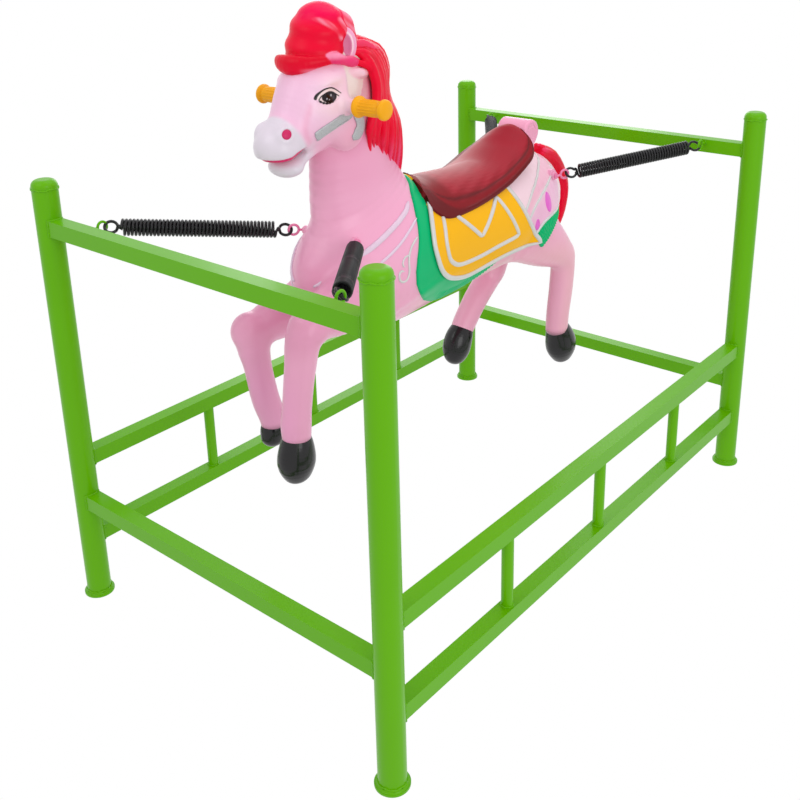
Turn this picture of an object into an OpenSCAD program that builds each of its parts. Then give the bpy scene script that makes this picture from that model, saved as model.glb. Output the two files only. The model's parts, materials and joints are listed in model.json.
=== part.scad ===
// A moulded toy horse hung on four extension springs inside a welded tube frame.
// Row frame: origin on the floor under the middle of the frame, +Z up, the horse looks along -Y.

/* [Frame] */
// Distance between the left and right post axes
frame_w = 800; // [720:10:900]
// Distance between the front and rear post axes
frame_l = 1285; // [1240:5:1400]
// Height of the frame to the top of the post caps
frame_h = 880; // [850:5:950]
// Outside diameter of a post
post_d = 48; // [42:1:56]
// Wall of a post
post_wall = 2.5; // [1.5:0.5:4]
// Height of the domed cap on a post
cap_h = 16; // [8:1:20]
// Diameter of the flared foot plate
foot_d = 60; // [58:1:80]
// Thickness of the foot plate
foot_t = 8; // [4:1:12]
// Side of the square rails
rail_s = 30; // [24:1:36]
// Wall of the square rails
rail_wall = 2; // [1.5:0.5:3]
// Drop from the top of the caps to the top face of the end rails that carry the springs
end_top_drop = 73; // [55:1:85]
// Top face of the end rails near the floor
end_low_z = 236; // [220:1:260]
// Top face of the upper side rails
side_top_z = 323; // [300:1:345]
// Top face of the lower side rails
side_low_z = 149; // [130:1:170]
// Diameter of a baluster
baluster_d = 22; // [16:1:26]
// Balusters on a side
baluster_count = 3; // [2:1:5]

/* [Springs] */
// Diameter of the spring wire
wire_d = 5; // [4:0.5:5.5]
// Outside diameter of a spring
spring_d = 32; // [28:1:36]
// Curls in a spring
spring_turns = 20; // [12:1:21]
// Length of the hook from the eye's centre to the coil
hook_l = 34; // [32:1:40]

/* [Ring eyes] */
// Diameter of the rod that the ring eyes are bent from
eye_rod_d = 5; // [4:0.5:6]
// Inside diameter of a ring eye
eye_hole_d = 14; // [13:0.5:18]
// Distance of a frame eye from the frame's middle plane
frame_eye_x = 293; // [270:1:310]
// Length of the rod between a body eye and its cross bar
eye_shank = 10; // [8:1:14]

/* [Horse] */
// Height of the barrel's middle above the floor
hang_h = 680; // [660:5:700]
// Wall of the moulded shell
shell_wall = 4; // [3:0.5:6]
// Thickness of the green under cloth
under_cloth_t = 4; // [3:0.5:6]
// Thickness of the yellow saddle cloth
saddle_cloth_t = 4; // [3:0.5:6]
// Thickness of the rump cloth
rump_cloth_t = 4; // [3:0.5:6]
// Thickness of the bridle straps
bridle_t = 3; // [2:0.5:4]
// Thickness of the breast collar
collar_t = 4; // [3:0.5:6]
// Diameter of the bedroll behind the saddle
bedroll_d = 60; // [50:1:66]
// Length of the bedroll
bedroll_l = 96; // [80:4:120]

/* [Handles] */
// Diameter of the steel handlebar
handlebar_d = 16; // [12:1:18]
// Distance from the middle plane to a grip's inner flange
grip_start = 88; // [86:1:96]
// Length of a grip
grip_l = 62; // [56:1:80]
// Diameter of a grip's barrel
grip_d = 26; // [24:1:30]
// Diameter of a grip's flanges
grip_flange_d = 40; // [36:1:44]
// Ribs round a grip
grip_ribs = 5; // [3:1:7]

/* [Armature] */
// Diameter of the cross bars that carry the body eyes
cross_bar_d = 18; // [14:1:20]
// Half length of the front cross bar
front_bar_half = 65; // [62:1:76]
// Half length of the rear cross bar
rear_bar_half = 83; // [81:1:90]
// Outside diameter of the sleeve that turns on the rear cross bar
sleeve_d = 28; // [26:1:32]
// Radial clearance of the rear cross bar in its sleeve
sleeve_clearance = 0.08; // [0.04:0.01:0.1]
// Outside diameter of the spine tube
spine_d = 26; // [20:1:28]
// Wall of the spine tube
spine_wall = 2; // [1.5:0.5:3]

/* [Hidden] */

post_x = frame_w / 2;
post_y = frame_l / 2;
end_top_z = frame_h - end_top_drop;
frame_eye_reach = eye_hole_d / 2 + eye_rod_d + 13;
frame_eye_y = post_y - rail_s / 2 - frame_eye_reach;
frame_eye_z = end_top_z - rail_s / 2 + 7;

// Places on the horse are measured from the point hang_h above the floor, below the saddle
front_bar_end = [front_bar_half, -318, 83];
rear_bar_end = [rear_bar_half, 320, 74];
body_eye_reach = eye_hole_d / 2 + eye_rod_d + eye_shank;
front_eye = front_bar_end
    + body_eye_reach * unit([frame_eye_x, -frame_eye_y, frame_eye_z - hang_h] - front_bar_end);
rear_eye = rear_bar_end
    + body_eye_reach * unit([frame_eye_x, frame_eye_y, frame_eye_z - hang_h] - rear_bar_end);
grip_y = -326;
grip_z = 332;

// Stations: x, y, z of the middle, half width, half depth, taper of the width
torso_rows = [
    [0, -385, -5, 50, 50, 0], [0, -340, 0, 80, 80, 0], [0, -280, 5, 98, 115, 0], [0, -190, 8, 106, 133, 0],
    [0, -60, 5, 106, 126, 0], [0, 80, 3, 104, 119, 0], [0, 220, 8, 102, 118, 0], [0, 320, 16, 84, 104, 0],
    [0, 385, 18, 58, 76, 0]
];
neck_rows = [
    [0, -190, -40, 84, 140, 0], [0, -215, 65, 76, 130, 0], [0, -245, 150, 60, 110, 0],
    [0, -263, 240, 55, 86, 0], [0, -275, 320, 54, 76, 0], [0, -272, 375, 50, 66, 0]
];
head_rows = [
    [0, -285, 395, 50, 60, 0], [0, -315, 365, 66, 80, 0], [0, -350, 328, 66, 84, 0],
    [0, -392, 298, 52, 62, 0], [0, -426, 278, 45, 47, 0], [0, -448, 268, 42, 40, 0]
];
jaw_rows = [
    [0, -340, 258, 34, 26, 0], [0, -385, 237, 31, 24, 0], [0, -420, 226, 30, 18, 0]
];
ear_rows = [[42, -303, 400, 13, 11, 0], [44, -300, 432, 15, 12, 0], [46, -296, 455, 9, 8, 0]];
forelock_rows = [
    [0, -345, 402, 58, 60, 0], [0, -328, 430, 54, 52, 0], [0, -316, 460, 50, 46, 0], [0, -305, 486, 33, 32, 0]
];
mane_rows = [
    [0, -270, 425, 34, 24, 0], [4, -225, 418, 40, 30, 0], [8, -188, 382, 40, 33, 0],
    [14, -172, 320, 40, 32, 0], [18, -160, 250, 36, 28, 0], [20, -150, 190, 24, 18, 0], [20, -146, 155, 9, 8, 0]
];
tail_rows = [
    [0, 390, 112, 18, 14, 0], [0, 440, 92, 26, 20, 0], [0, 474, 48, 30, 20, 0], [0, 486, 0, 30, 20, 0],
    [0, 474, -50, 25, 16, 0], [0, 455, -88, 13, 9, 0]
];
front_left_rows = [
    [62, -300, 0, 46, 62, 0], [72, -370, -18, 42, 54, 0], [76, -432, -22, 36, 42, 0],
    [78, -472, -40, 31, 34, 0], [78, -488, -100, 25, 28, 0], [78, -500, -170, 22, 24, 0], [78, -508, -215, 21, 22, 0]
];
front_right_rows = [
    [-61, -297, -33, 46, 61, 0], [-73, -367, -65, 42, 48, 0], [-79, -416, -73, 36, 38, 0],
    [-80, -444, -98, 31, 32, 0], [-78, -445, -150, 24, 27, 0], [-76, -432, -220, 20, 23, 0], [-75, -422, -264, 18, 20, 0]
];
rear_left_rows = [
    [56, 240, -30, 50, 82, 0], [66, 292, -70, 43, 64, 0], [76, 338, -104, 35, 44, 0],
    [80, 366, -132, 28, 31, 0], [80, 364, -200, 24, 26, 0], [80, 352, -270, 24, 25, 0], [80, 348, -310, 22, 24, 0]
];
rear_right_rows = [
    [-56, 250, -20, 50, 80, 0], [-66, 300, -80, 42, 60, 0], [-76, 320, -140, 33, 40, 0],
    [-80, 305, -185, 29, 31, 0], [-80, 246, -232, 27, 27, 0], [-80, 204, -276, 24, 25, 0], [-80, 188, -304, 22, 23, 0]
];
// A hoof starts a little above the end of its leg and laps round it
front_left_hoof_rows = [[78, -507, -208, 24, 26, 0], [78, -510, -246, 28, 31, 0], [78, -512, -302, 31, 37, 0]];
front_right_hoof_rows = [[-75, -423, -257, 21, 23, 0], [-75, -424, -286, 25, 28, 0], [-75, -428, -320, 28, 34, 0]];
rear_left_hoof_rows = [[80, 348, -303, 25, 27, 0], [80, 355, -338, 30, 33, 0], [80, 368, -384, 36, 42, 0]];
rear_right_hoof_rows = [[-80, 191, -298, 25, 26, 0], [-80, 178, -328, 29, 31, 0], [-80, 166, -366, 33, 38, 0]];

// Saddle: y, half width, height of the middle, height of the edge, how far the flaps reach forward
saddle_rows = [
    [-98, 66, 148, 132, 30], [-86, 86, 152, 114, 38], [-56, 98, 150, 94, 36], [0, 99, 142, 96, 16],
    [70, 95, 136, 108, 4], [140, 91, 140, 130, 0], [200, 90, 150, 148, 0], [244, 78, 162, 160, 0],
    [272, 48, 168, 166, 0]
];
saddle_rim = 12;
pin_facets = 32;
// Half length of a bore or a cut that goes right through the horse
through = 300;

function unit(v) = v / norm(v);
function spline_point(a, b, c, d, t) =
    0.5 * (2 * b + (c - a) * t + (2 * a - 5 * b + 4 * c - d) * t * t + (3 * b - a - 3 * c + d) * t * t * t);

// Rows with smooth steps put between them
function smooth_rows(rows, steps) = [
    for (i = [0 : len(rows) - 2])
        for (s = [0 : steps - 1])
            spline_point(rows[max(i - 1, 0)], rows[i], rows[i + 1], rows[min(i + 2, len(rows) - 1)], s / steps),
    rows[len(rows) - 1]
];
function place(row) = [row[0], row[1], row[2]];
function heading(rows, i) = unit(place(rows[min(i + 1, len(rows) - 1)]) - place(rows[max(i - 1, 0)]));

// One ring of a loft, square to its heading in the side view
function ring(row, head, along, shrink, grow, sides) =
    let (depth_axis = unit([0, -head[2], head[1]]))
    [for (k = [0 : sides - 1])
        let (c = cos(360 * k / sides), s = sin(360 * k / sides))
        place(row) + head * along
            + [1, 0, 0] * (row[3] + grow) * shrink * c * (1 + row[5] * s)
            + depth_axis * (row[4] + grow) * shrink * s];

// Closed skin over rings, with a point at each end
module skin(rings, first, last) {
    sides = len(rings[0]);
    count = len(rings);
    points = concat([for (r = rings) each r], [first, last]);
    walls = [for (j = [0 : count - 2]) for (k = [0 : sides - 1]) let (n = (k + 1) % sides) each [
        [j * sides + k, j * sides + n, (j + 1) * sides + n],
        [j * sides + k, (j + 1) * sides + n, (j + 1) * sides + k]
    ]];
    ends = [for (k = [0 : sides - 1]) let (n = (k + 1) % sides) each [
        [count * sides, n, k],
        [count * sides + 1, (count - 1) * sides + k, (count - 1) * sides + n]
    ]];
    polyhedron(points, concat(walls, ends));
}

// Rounded body over a list of stations, grown or shrunk, with a dome of its own length at each end
module loft(stations, domes, grow = 0, sides = 20, steps = 2) {
    rows = smooth_rows(stations, steps);
    last = len(rows) - 1;
    start_head = heading(rows, 0);
    end_head = heading(rows, last);
    start_dome = max(domes[0] + grow, 0.5);
    end_dome = max(domes[1] + grow, 0.5);
    dome_angles = [30, 60];
    rings = concat(
        [for (a = [60, 30]) if (domes[0] > 0) ring(rows[0], start_head, -start_dome * sin(a), cos(a), grow, sides)],
        [for (i = [0 : last]) ring(rows[i], heading(rows, i), 0, 1, grow, sides)],
        [for (a = dome_angles) if (domes[1] > 0) ring(rows[last], end_head, end_dome * sin(a), cos(a), grow, sides)]
    );
    skin(rings, place(rows[0]) - start_head * (domes[0] > 0 ? start_dome : 0),
        place(rows[last]) + end_head * (domes[1] > 0 ? end_dome : 0));
}

// A moulding whose cuts follow the facets of its neighbours
module moulded() {
    resize([0, 0, 0]) children();
}
module at_horse() {
    translate([0, 0, hang_h]) children();
}
module torso_body(grow = 0, sides = 20) {
    loft(torso_rows, [22, 34], grow, sides);
}
module neck_body(grow = 0, sides = 20) {
    loft(neck_rows, [0, 0], grow, sides);
}
module head_body(grow = 0, sides = 20) {
    loft(head_rows, [26, 24], grow, sides);
}
module core(rows, domes, sides, steps) {
    loft(rows, domes, -shell_wall, sides, steps);
}
module torso_core() {
    core(torso_rows, [22, 34], 16, 2);
}
module neck_core() {
    core(neck_rows, [0, 0], 12, 2);
}
module head_core() {
    core(head_rows, [26, 24], 12, 2);
}

// Cylinder along X through the horse
module cross_pin(d, y, z, half_l) {
    translate([-half_l, y, z]) rotate([0, 90, 0]) cylinder(h = 2 * half_l, d = d, $fn = pin_facets);
}
// Bore right through the horse along X, whose flats lie just outside a round pin of diameter d
module cross_bore(d, y, z) {
    cross_pin(d / cos(180 / pin_facets), y, z, through);
}
// Cylinder from one point to another
module rod(from, to, d, facets = 32) {
    run = to - from;
    translate(from)
        rotate([0, acos(run[2] / norm(run)), atan2(run[1], run[0])])
            cylinder(h = norm(run), d = d, $fn = facets);
}

module post(x, y) {
    color("yellowgreen") translate([x, y, foot_t]) difference() {
        cylinder(h = frame_h - cap_h - foot_t, d = post_d, $fn = 48);
        translate([0, 0, -1]) cylinder(h = frame_h - cap_h - foot_t + 2, d = post_d - 2 * post_wall, $fn = 48);
    }
}
module post_front_left() { post(post_x, -post_y); }
module post_front_right() { post(-post_x, -post_y); }
module post_rear_left() { post(post_x, post_y); }
module post_rear_right() { post(-post_x, post_y); }

module at_posts() {
    for (x = [-post_x, post_x]) for (y = [-post_y, post_y]) translate([x, y, 0]) children();
}
module post_caps() {
    cap_round = min(cap_h, post_d / 2) * 0.75;
    color("olivedrab") at_posts() translate([0, 0, frame_h - cap_h]) rotate_extrude($fn = 48) intersection() {
        square([post_d / 2, cap_h]);
        hull() {
            square([post_d / 2, 1]);
            translate([post_d / 2 - cap_round, cap_h - cap_round]) circle(r = cap_round, $fn = 48);
            square([1, cap_h]);
        }
    }
}
module foot_plates() {
    flare = (foot_d - post_d) / 2;
    color("olivedrab") at_posts() rotate_extrude($fn = 48) union() {
        square([foot_d / 2, foot_t / 2]);
        difference() {
            square([foot_d / 2, foot_t]);
            translate([foot_d / 2, foot_t]) circle(r = min(flare, foot_t / 2), $fn = 32);
        }
    }
}

// Square tube along X, its ends coped to the posts
module end_rail(y, top) {
    color("yellowgreen") difference() {
        translate([-post_x, y - rail_s / 2, top - rail_s]) cube([frame_w, rail_s, rail_s]);
        translate([-post_x - 1, y - rail_s / 2 + rail_wall, top - rail_s + rail_wall])
            cube([frame_w + 2, rail_s - 2 * rail_wall, rail_s - 2 * rail_wall]);
        at_posts() cylinder(h = frame_h, d = post_d, $fn = 48);
    }
}
module front_top_rail() { end_rail(-post_y, end_top_z); }
module rear_top_rail() { end_rail(post_y, end_top_z); }
module front_bottom_rail() { end_rail(-post_y, end_low_z); }
module rear_bottom_rail() { end_rail(post_y, end_low_z); }

// Square tube along Y, its ends coped to the posts
module side_rail(x, top) {
    color("yellowgreen") difference() {
        translate([x - rail_s / 2, -post_y, top - rail_s]) cube([rail_s, frame_l, rail_s]);
        translate([x - rail_s / 2 + rail_wall, -post_y - 1, top - rail_s + rail_wall])
            cube([rail_s - 2 * rail_wall, frame_l + 2, rail_s - 2 * rail_wall]);
        at_posts() cylinder(h = frame_h, d = post_d, $fn = 48);
    }
}
module left_upper_rail() { side_rail(post_x, side_top_z); }
module right_upper_rail() { side_rail(-post_x, side_top_z); }
module left_lower_rail() { side_rail(post_x, side_low_z); }
module right_lower_rail() { side_rail(-post_x, side_low_z); }

module balusters(x) {
    pitch = frame_l / (baluster_count + 1);
    color("yellowgreen") for (i = [1 : baluster_count]) translate([x, i * pitch - post_y, side_low_z])
        cylinder(h = side_top_z - rail_s - side_low_z, d = baluster_d, $fn = 32);
}
module left_balusters() { balusters(post_x); }
module right_balusters() { balusters(-post_x); }

// Ring bent from rod, upright in the plane of its shank, with a slightly thinner shank back to root
module ring_eye(middle, root) {
    run = root - middle;
    turn = atan2(run[1], run[0]);
    shank_d = eye_rod_d - 0.3;
    translate(middle) rotate([90, 0, turn]) rotate_extrude($fn = 32)
        translate([(eye_hole_d + eye_rod_d) / 2, 0]) circle(d = eye_rod_d, $fn = 16);
    rod(middle + unit(run) * (eye_hole_d / 2 + eye_rod_d * 0.4), root, shank_d, 16);
}
module frame_eyes(side) {
    root_y = side * (post_y - rail_s / 2);
    color("yellowgreen") for (x = [-frame_eye_x, frame_eye_x])
        ring_eye([x, side * frame_eye_y, frame_eye_z], [x, root_y, frame_eye_z]);
}
module front_frame_eyes() { frame_eyes(-1); }
module rear_frame_eyes() { frame_eyes(1); }

// Path of one spring from the frame eye to the body eye, hook, coil and hook in one wire.
// hand is 1 or -1 and turns the spring half round, so that its hooks open away from the rings' shanks
function spring_path(from, to, hand) =
    let (
        reach = norm(to - from),
        along = unit(to - from),
        flat = hand * unit(cross(along, [0, 0, 1])),
        up = cross(flat, along),
        coil_r = (spring_d - wire_d) / 2,
        hook_r = 8,
        hook_mid = (eye_hole_d - wire_d) / 2 - 0.4 - hook_r,
        coil_l = reach - 2 * hook_l,
        steps = spring_turns * 8,
        hook = [for (a = [-75 : 30 : 135]) [-hook_mid - hook_r * cos(a + 45), hook_r * sin(a + 45)]],
        tip = [hook[0] + [4, 1]],
        half = concat(tip, hook, [[hook_l - 8, hook_r + 2]]),
        start = [for (p = half) [p[0], p[1], 0]],
        coil = [for (i = [0 : steps])
            [hook_l + coil_l * i / steps, coil_r * cos(360 * i / 8), coil_r * sin(360 * i / 8)]],
        finish = [for (i = [len(start) - 1 : -1 : 0]) [reach - start[i][0], start[i][1], start[i][2]]]
    )
    [for (p = concat(start, coil, finish)) from + along * p[0] + flat * p[1] + up * p[2]];

// Ring frames carried along a path without twist
function carried(path, i, last_axis) =
    let (head = unit(path[min(i + 1, len(path) - 1)] - path[max(i - 1, 0)]))
    unit(last_axis - head * (last_axis * head));
function carried_axes(path, i = 0, axes = []) =
    i == len(path) ? axes
    : carried_axes(path, i + 1, concat(axes, [carried(path, i, i == 0 ? [0.3, 0.2, 1] : axes[i - 1])]));
module wire(path, d) {
    axes = carried_axes(path);
    rings = [for (i = [0 : len(path) - 1])
        let (head = unit(path[min(i + 1, len(path) - 1)] - path[max(i - 1, 0)]), side_axis = cross(head, axes[i]))
        [for (k = [0 : 5]) path[i] + (axes[i] * cos(60 * k) - side_axis * sin(60 * k)) * d / 2]];
    skin(rings, path[0], path[len(path) - 1]);
}
function least_gap(path) = min([
    for (i = [0 : 2 : len(path) - 1]) for (j = [i + 7 : len(path) - 1]) norm(path[i] - path[j])
]) - wire_d;

module spring(side_x, side_y, body_eye) {
    path = spring_path([side_x * frame_eye_x, side_y * frame_eye_y, frame_eye_z],
        [side_x * body_eye[0], body_eye[1], body_eye[2] + hang_h], side_x * side_y);
    echo(least_gap_of_spring = least_gap(path));
    color("dimgray") wire(path, wire_d);
}
module spring_front_left() { spring(1, -1, front_eye); }
module spring_front_right() { spring(-1, -1, front_eye); }
module spring_rear_left() { spring(1, 1, rear_eye); }
module spring_rear_right() { spring(-1, 1, rear_eye); }

module torso_shell() {
    color("pink") at_horse() moulded() difference() {
        torso_body();
        torso_core();
        neck_core();
        for (rows = [front_left_rows, front_right_rows, rear_left_rows, rear_right_rows]) core(rows, [0, 0], 8, 1);
        cross_bore(cross_bar_d, front_bar_end[1], front_bar_end[2]);
        cross_bore(sleeve_d, rear_bar_end[1], rear_bar_end[2]);
    }
}
module neck_shell() {
    color("pink") at_horse() moulded() difference() {
        neck_body();
        neck_core();
        torso_body();
        head_body();
        cross_bore(cross_bar_d, front_bar_end[1], front_bar_end[2]);
    }
}
module head_shell() {
    color("pink") at_horse() moulded() difference() {
        head_body();
        head_core();
        neck_core();
        cross_bore(handlebar_d, grip_y, grip_z);
        eye_balls();
    }
}
module lower_jaw() {
    color("white") at_horse() moulded() difference() {
        loft(jaw_rows, [10, 12], 0, 14, 2);
        head_body();
        neck_body();
    }
}
module eye_balls() {
    for (s = [-1, 1]) translate([s * 44, -368, 352]) sphere(r = 20, $fn = 24);
}
module horse_eyes() {
    color("black") at_horse() moulded() difference() {
        eye_balls();
        head_core();
    }
}
module ear(side) {
    color("plum") at_horse() moulded() difference() {
        loft([for (r = ear_rows) [side * r[0], r[1], r[2], r[3], r[4], r[5]]], [0, 10], 0, 10, 2);
        head_body();
    }
}
module ear_left() { ear(1); }
module ear_right() { ear(-1); }
module forelock() {
    color("crimson") at_horse() moulded() difference() {
        loft(forelock_rows, [14, 14], 0, 18, 2);
        head_body();
        neck_body();
        for (s = [-1, 1]) loft([for (r = ear_rows) [s * r[0], r[1], r[2], r[3], r[4], r[5]]], [0, 10], 0, 10, 2);
    }
}
module mane() {
    color("crimson") at_horse() moulded() difference() {
        loft(mane_rows, [10, 10], 0, 14, 2);
        loft(forelock_rows, [14, 14], 0, 18, 2);
        head_body();
        neck_body();
        torso_body();
    }
}
module tail() {
    color("crimson") at_horse() moulded() difference() {
        loft(tail_rows, [8, 10], 0, 14, 2);
        torso_body(rump_cloth_t);
    }
}

module leg(rows) {
    color("pink") at_horse() moulded() difference() {
        loft(rows, [0, 0], 0, 14, 2);
        core(rows, [0, 0], 8, 1);
        torso_body();
    }
}
module front_left_leg() { leg(front_left_rows); }
module front_right_leg() { leg(front_right_rows); }
module rear_left_leg() { leg(rear_left_rows); }
module rear_right_leg() { leg(rear_right_rows); }
module hoof(rows, leg_rows) {
    color("black") at_horse() moulded() difference() {
        loft(rows, [0, 0], 0, 14, 2);
        loft(leg_rows, [0, 0], 0, 14, 2);
    }
}
module front_left_hoof() { hoof(front_left_hoof_rows, front_left_rows); }
module front_right_hoof() { hoof(front_right_hoof_rows, front_right_rows); }
module rear_left_hoof() { hoof(rear_left_hoof_rows, rear_left_rows); }
module rear_right_hoof() { hoof(rear_right_hoof_rows, rear_right_rows); }

// Region of the torso's skin inside an outline drawn in the side view
module side_region(outline) {
    rotate([90, 0, 90]) translate([0, 0, -through]) linear_extrude(2 * through) polygon(outline);
}
// Outlines of the cloths as y, z; the rear edge of the yellow cloth is shared by the other two
cloth_rear_edge = [[222, -50], [170, 16], [134, 84], [118, 170]];
under_outline = concat([
    [-95, 170], [-158, 121], [-174, 80], [-188, 55], [-200, -11], [-174, -56], [-112, -88], [-61, -98],
    [0, -92], [50, -74], [82, -54]
], cloth_rear_edge);
saddle_cloth_outline = concat([
    [-92, 170], [-132, 96], [-146, 30], [-124, -18], [-82, -48], [-21, -56], [70, -52]
], cloth_rear_edge);
rump_outline = concat([for (i = [3 : -1 : 0]) cloth_rear_edge[i] + [3, 0]], [
    [300, -38], [358, -10], [390, 40], [396, 100], [390, 170]
]);
module under_cloth() {
    color("mediumseagreen") at_horse() moulded() difference() {
        intersection() {
            torso_body(under_cloth_t);
            side_region(under_outline);
        }
        torso_body();
        neck_body();
        for (rows = [front_left_rows, front_right_rows, rear_left_rows, rear_right_rows]) loft(rows, [0, 0], 0, 14, 2);
    }
}
module saddle_cloth() {
    color("orange") at_horse() moulded() difference() {
        intersection() {
            torso_body(under_cloth_t + saddle_cloth_t);
            side_region(saddle_cloth_outline);
        }
        torso_body(under_cloth_t);
        for (rows = [rear_left_rows, rear_right_rows]) loft(rows, [0, 0], 0, 14, 2);
    }
}
module rump_cloth() {
    color("lightpink") at_horse() moulded() difference() {
        intersection() {
            torso_body(rump_cloth_t);
            side_region(rump_outline);
        }
        torso_body();
        for (rows = [rear_left_rows, rear_right_rows]) loft(rows, [0, 0], 0, 14, 2);
        cross_bore(sleeve_d, rear_bar_end[1], rear_bar_end[2]);
    }
}

// One cross-section of the saddle: a crowned top, a rolled edge and an underside that runs into the barrel
function saddle_ring(row) =
    let (w = row[1], mid = row[2], edge = row[3], reach = row[4])
    [for (p = concat(
        [for (k = [-4 : 4]) [w * k / 4.2, edge + (mid - edge) * (1 - pow(k / 4.2, 2))]],
        [[w, edge - saddle_rim / 2], [w - saddle_rim / 2, edge - saddle_rim], [w * 0.6, edge - 60]],
        [[-w * 0.6, edge - 60], [-w + saddle_rim / 2, edge - saddle_rim], [-w, edge - saddle_rim / 2]]
    )) [-p[0], row[0] - reach * pow(p[0] / w, 2), p[1]]];
module saddle_block() {
    rows = smooth_rows(saddle_rows, 2);
    rings = [for (r = rows) saddle_ring(r)];
    skin(rings, [0, rows[0][0], rows[0][3] - 20], [0, rows[len(rows) - 1][0], rows[len(rows) - 1][3] - 20]);
}
module saddle() {
    color("brown") at_horse() moulded() difference() {
        saddle_block();
        torso_body(under_cloth_t + saddle_cloth_t);
        neck_body();
        bedroll_block(0.01);
    }
}
bedroll_y = 292;
bedroll_z = 172;
module bedroll_block(grow = 0) {
    cross_pin(bedroll_d + grow, bedroll_y, bedroll_z, (bedroll_l + grow) / 2);
}
module bedroll() {
    color("hotpink") at_horse() moulded() difference() {
        bedroll_block();
        torso_body(rump_cloth_t);
    }
}
module breast_collar() {
    color("silver") at_horse() moulded() difference() {
        intersection() {
            union() {
                torso_body(collar_t);
                neck_body(collar_t);
            }
            side_region([[-135, 62], [-430, -30], [-425, -50], [-150, 38]]);
        }
        torso_body();
        neck_body();
        intersection() {
            torso_body(collar_t + 1);
            side_region(under_outline);
        }
        for (rows = [front_left_rows, front_right_rows]) loft(rows, [0, 0], 0, 14, 2);
    }
}
module bridle() {
    color("silver") at_horse() moulded() difference() {
        intersection() {
            head_body(bridle_t);
            side_region([[-425, 262], [-335, 318], [-325, 262], [-312, 262], [-318, 330], [-345, 326], [-420, 276]]);
        }
        head_body();
        neck_body();
        loft(jaw_rows, [10, 12], 0, 14, 2);
        cross_bore(handlebar_d, grip_y, grip_z);
    }
}

module handlebar() {
    color("gray") at_horse() cross_pin(handlebar_d, grip_y, grip_z, grip_start + grip_l - 5);
}
// Ribbed plastic grip with a flange at each end and a closed outer end
module grip(side) {
    rib_pitch = (grip_l - 14) / grip_ribs;
    flange = 7;
    color("gold") at_horse() translate([0, grip_y, grip_z]) rotate([0, side * 90, 0]) translate([0, 0, grip_start])
        difference() {
            union() {
                cylinder(h = grip_l, d = grip_d - 2, $fn = 32);
                for (z = [0, grip_l - flange]) translate([0, 0, z]) cylinder(h = flange, d = grip_flange_d, $fn = 40);
                for (i = [0 : grip_ribs - 1]) translate([0, 0, flange + (i + 0.25) * rib_pitch])
                    cylinder(h = rib_pitch / 2, d = grip_d, $fn = 32);
            }
            translate([0, 0, -1]) cylinder(h = grip_l - 4, d = handlebar_d, $fn = 32);
        }
}
module grip_left() { grip(1); }
module grip_right() { grip(-1); }

module spine_tube() {
    from = [0, front_bar_end[1], front_bar_end[2]];
    to = [0, rear_bar_end[1], rear_bar_end[2]];
    color("gray") at_horse() difference() {
        rod(from, to, spine_d);
        rod(from - unit(to - from), to + unit(to - from), spine_d - 2 * spine_wall);
        cross_pin(cross_bar_d, from[1], from[2], 100);
        cross_pin(sleeve_d, to[1], to[2], 100);
    }
}
module rear_sleeve() {
    color("gray") at_horse() difference() {
        cross_pin(sleeve_d, rear_bar_end[1], rear_bar_end[2], rear_bar_end[0] - 6);
        cross_pin(cross_bar_d + 2 * sleeve_clearance, rear_bar_end[1], rear_bar_end[2], through);
    }
}
module front_cross_bar() {
    color("gray") at_horse() cross_pin(cross_bar_d, front_bar_end[1], front_bar_end[2], front_bar_end[0]);
}
module rear_cross_bar() {
    color("gray") at_horse() cross_pin(cross_bar_d, rear_bar_end[1], rear_bar_end[2], rear_bar_end[0]);
}
// Two ring eyes, each on a round pad welded to the end of its cross bar
module body_eyes(middle, bar_end) {
    pad_d = 12;
    pad_t = 4;
    color("hotpink") at_horse() for (s = [-1, 1]) {
        tip = [s * bar_end[0], bar_end[1], bar_end[2]];
        ring_eye([s * middle[0], middle[1], middle[2]], tip + [s * pad_t * 0.7, 0, 0]);
        translate(tip) rotate([0, s * 90, 0]) cylinder(h = pad_t, d = pad_d, $fn = 32);
    }
}
module front_body_eyes() { body_eyes(front_eye, front_bar_end); }
module rear_body_eyes() { body_eyes(rear_eye, rear_bar_end); }

post_front_left();
post_front_right();
post_rear_left();
post_rear_right();
post_caps();
foot_plates();
front_top_rail();
rear_top_rail();
front_bottom_rail();
rear_bottom_rail();
left_upper_rail();
right_upper_rail();
left_lower_rail();
right_lower_rail();
left_balusters();
right_balusters();
front_frame_eyes();
rear_frame_eyes();
spring_front_left();
spring_front_right();
spring_rear_left();
spring_rear_right();
torso_shell();
neck_shell();
head_shell();
lower_jaw();
ear_left();
ear_right();
forelock();
mane();
tail();
front_left_leg();
front_right_leg();
rear_left_leg();
rear_right_leg();
front_left_hoof();
front_right_hoof();
rear_left_hoof();
rear_right_hoof();
under_cloth();
saddle_cloth();
rump_cloth();
saddle();
bedroll();
breast_collar();
bridle();
horse_eyes();
handlebar();
grip_left();
grip_right();
spine_tube();
rear_sleeve();
front_cross_bar();
rear_cross_bar();
front_body_eyes();
rear_body_eyes();
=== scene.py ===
import json
import math

import bpy
import numpy as np
from mathutils import Matrix, Vector


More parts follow.
